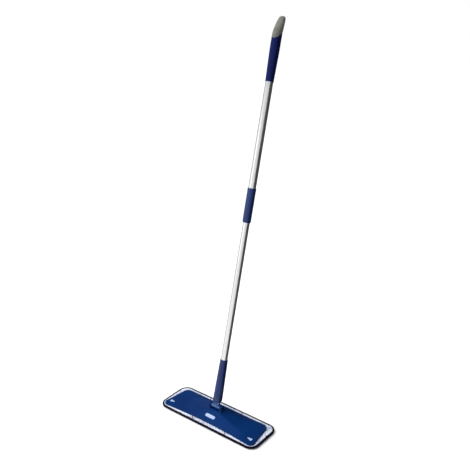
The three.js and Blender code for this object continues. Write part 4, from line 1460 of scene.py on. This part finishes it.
def add_thread(vertices, faces, route, wide, tall):
    """A short stitch along a route in the level plane, tapering into the cloth at both ends."""
    base = len(vertices)
    last = len(route) - 1
    for k, (a, b, c) in enumerate(route):
        here, there = route[max(k - 1, 0)], route[min(k + 1, last)]
        ahead = Vector((there[0] - here[0], there[1] - here[1], 0)).normalized()
        size = 0.55 + 0.45 * math.sin(math.pi * k / last)
        for j in range(THREAD_SIDES):
            angle = 2 * math.pi * j / THREAD_SIDES
            side = wide * size * math.cos(angle)
            vertices.append((a - ahead.y * side, b + ahead.x * side, c + tall * size * math.sin(angle)))
    for k in range(last):
        for j in range(THREAD_SIDES):
            one, two = base + k * THREAD_SIDES, base + (k + 1) * THREAD_SIDES
            faces.append((one + j, one + (j + 1) % THREAD_SIDES, two + (j + 1) % THREAD_SIDES, two + j))
    faces.append(tuple(base + j for j in range(THREAD_SIDES))[::-1])
    faces.append(tuple(base + last * THREAD_SIDES + j for j in range(THREAD_SIDES)))


def make_core():
    """Needled fleece between backing and pile, crowned a little towards the middle."""
    low, high = low_high("pad_core")
    inset = TAPE_WIDTH + 0.4
    x, y, quads, rim = pad_grid(inset, 6.0)
    edge = np.clip(inside_pad(x, y, inset) / 6, 0, 1)
    crown = np.sqrt(1 - (1 - edge) ** 2)
    middle, half = (low[2] + high[2]) / 2, (high[2] - low[2]) / 2
    lumps = 0.08 * np.sin(x * 0.19) * np.sin(y * 0.23)
    top = np.stack([x, y, middle + (half - 0.1) * (0.35 + 0.65 * crown) + lumps], 1)
    bottom = np.stack([x, y, middle - (half - 0.1) * (0.35 + 0.65 * crown) + lumps], 1)
    count = len(x)
    faces = quads.tolist() + (quads[:, ::-1] + count).tolist()
    ends = len(rim)
    faces += [(int(rim[i]), int(rim[(i + 1) % ends]), int(rim[(i + 1) % ends]) + count, int(rim[i]) + count)
              for i in range(ends)]
    core = mesh_object("fleece_core", np.concatenate([top, bottom]), faces)
    finish_piece(core, "pad", FLEECE, "foam", "pad_core")


def make_pile():
    """Microfibre pile on its ground: rows of soft tufts pressed level where they meet the floor."""
    low, high = low_high("pad_pile")
    inset = TAPE_WIDTH + 0.2
    x, y, quads, rim = pad_grid(inset, 1.25)
    pitch = 4.6
    row = np.round(y / (pitch * 0.87))
    shifted = x / pitch + 0.5 * (row % 2)
    cell = np.round(shifted)
    seed = np.abs(np.sin(cell * 127.1 + row * 311.7) * 43758.5) % 1
    turn = np.abs(np.sin(cell * 269.5 + row * 183.3) * 43758.5) % 1
    dx = (shifted - cell) * pitch + (turn - 0.5) * 1.4
    dy = y - row * pitch * 0.87 + (seed - 0.5) * 1.2
    tuft = np.exp(-(dx**2 + dy**2) / 3.2) * (0.7 + 0.3 * seed)
    fine = 0.16 * np.sin(x * 3.1 + 4 * turn) * np.sin(y * 2.7 + 5 * seed)
    edge = np.clip(inside_pad(x, y, inset) / 5, 0, 1)
    drop = edge * (0.55 + 0.45 * tuft)
    bottom_z = high[2] - 1.2 - (high[2] - 1.2 - low[2]) * np.clip(drop + fine * 0.12 * edge, 0, 1)
    top = np.stack([x, y, np.full(len(x), high[2] - 0.1)], 1)
    bottom = np.stack([x, y, np.maximum(bottom_z, low[2])], 1)
    count = len(x)
    faces = quads.tolist() + (quads[:, ::-1] + count).tolist()
    ends = len(rim)
    faces += [(int(rim[i]), int(rim[(i + 1) % ends]), int(rim[(i + 1) % ends]) + count, int(rim[i]) + count)
              for i in range(ends)]
    pile = mesh_object("microfibre_pile", np.concatenate([top, bottom]), faces)
    finish_piece(pile, "pad", PILE, "microfibre", "pad_pile")


# ------------------------------------------------------------------ stage
CAMERA_AT = Vector((1.172, -1.405, 1.336))
CAMERA_LOOK = Vector((-0.5760, 0.7400, -0.3477))
LENS = 49.36


WHITE = (1, 1, 1, 1)
NEAR_BLACK = (0.01, 0.01, 0.01, 1)
ROOM_GLOW = 0.22


def stage_sheet(name, vertices, faces, paint, unseen_by):
    """An open sheet of the stage that some kinds of ray don't see."""
    data = bpy.data.meshes.new(name)
    data.from_pydata(vertices, [], faces)
    data.materials.append(paint)
    sheet = bpy.data.objects.new(name, data)
    bpy.context.scene.collection.objects.link(sheet)
    for ray in unseen_by:
        setattr(sheet, "visible_" + ray, False)
    return sheet


def make_floor():
    size = 12
    corners = [(-size, -size, 0), (size, -size, 0), (size, size, 0), (-size, size, 0)]
    floor = stage_sheet("floor", corners, [(0, 1, 2, 3)], floor_paint(), ["diffuse"])
    floor.location.z = -0.0002


def curved_card(name, reach, azimuths, heights, paint, unseen_by, matrix=Matrix.Identity(4)):
    """A card bent round the pole from one azimuth to another."""
    steps = 24
    first, last = azimuths
    vertices = []
    for k in range(steps + 1):
        angle = math.radians(first + (last - first) * k / steps)
        vertices += [matrix @ Vector((reach * math.cos(angle), reach * math.sin(angle), z)) for z in heights]
    faces = [(2 * k, 2 * k + 2, 2 * k + 3, 2 * k + 1) for k in range(steps)]
    stage_sheet(name, vertices, faces, paint, unseen_by)


def dark_card(name, azimuths, glow):
    """A dark card close round the pole that only its reflections see."""
    paint, _ = principled(name, Base_Color=NEAR_BLACK, Roughness=1, Emission_Color=WHITE,
                          Emission_Strength=glow)
    curved_card(name, 150, azimuths, (15, 1280), paint, ("camera", "shadow", "diffuse"), POLE)


def dark_floor_card():
    """A dark card behind the pad that only reflections see, so that the back slope stays dark."""
    half, near, far, height = 0.6, 0.08, 0.8, 0.001
    corners = [(-half, near, height), (half, near, height), (half, far, height), (-half, far, height)]
    paint, _ = principled("floor_flag", Base_Color=NEAR_BLACK, Roughness=1)
    stage_sheet("floor_flag", corners, [(0, 1, 2, 3)], paint, ("camera", "shadow", "diffuse"))


def glowing_card(name, reach, azimuths, heights, strength):
    """A glowing card that the camera doesn't see, as a studio softbox."""
    paint, _ = principled(name, Base_Color=(0, 0, 0, 1), Emission_Color=WHITE, Emission_Strength=strength)
    curved_card(name, reach, azimuths, heights, paint, ("camera", "shadow"))


def make_sun(location, strength, spread):
    light = bpy.data.lights.new("key", "SUN")
    light.energy = strength
    light.angle = math.radians(spread)
    sun = bpy.data.objects.new("key", light)
    sun.location = location
    sun.rotation_euler = (-Vector(location)).to_track_quat("-Z", "Y").to_euler()
    sun.visible_glossy = False
    bpy.context.scene.collection.objects.link(sun)


def make_world():
    """White where the camera looks past the object, a dim grey room in every other way."""
    world = bpy.data.worlds.new("studio")
    world.use_nodes = True
    tree = world.node_tree
    room = tree.nodes["Background"]
    room.inputs["Color"].default_value = WHITE
    room.inputs["Strength"].default_value = ROOM_GLOW
    white = tree.nodes.new("ShaderNodeBackground")
    white.inputs["Color"].default_value = WHITE
    white.inputs["Strength"].default_value = 1.0
    path = tree.nodes.new("ShaderNodeLightPath")
    mix = tree.nodes.new("ShaderNodeMixShader")
    tree.links.new(path.outputs["Is Camera Ray"], mix.inputs[0])
    tree.links.new(room.outputs[0], mix.inputs[1])
    tree.links.new(white.outputs[0], mix.inputs[2])
    tree.links.new(mix.outputs[0], tree.nodes["World Output"].inputs[0])
    bpy.context.scene.world = world


def make_camera():
    lens = bpy.data.cameras.new("camera")
    lens.lens = LENS
    lens.sensor_width = 36
    camera = bpy.data.objects.new("camera", lens)
    camera.location = CAMERA_AT
    camera.rotation_euler = CAMERA_LOOK.to_track_quat("-Z", "Y").to_euler()
    bpy.context.scene.collection.objects.link(camera)
    bpy.context.scene.camera = camera


def make_stage():
    make_camera()
    make_world()
    make_floor()
    make_sun(location=(-0.95, -0.68, 1.6), strength=4.3, spread=85)
    glowing_card("reflector", 2.4, (-175, -28), (0.3, 2.6), strength=1.05)
    glowing_card("softbox", 2.3, (-138, -114), (0.6, 1.7), strength=2.6)
    dark_card("flag_right", (-24, 128), glow=0.05)
    dark_card("flag_left", (136, 196), glow=0.45)
    dark_floor_card()
    bpy.context.scene.view_settings.view_transform = "Standard"


# ------------------------------------------------------------------ build
make_stage()
make_tube("upper_tube", "upper_pole")
make_tube("lower_tube", "lower_pole")
make_grip()
make_end_cap()
make_collar()
make_wiper()
make_collet()
make_bush()
make_socket()
make_knuckle()
make_rivet_and_washers()
make_cover()
make_inlays()
make_plate()
make_strips()
make_screws()
make_pin_and_caps()
make_binding()
make_binding_stitches()
make_core()
make_backing()
make_pile()
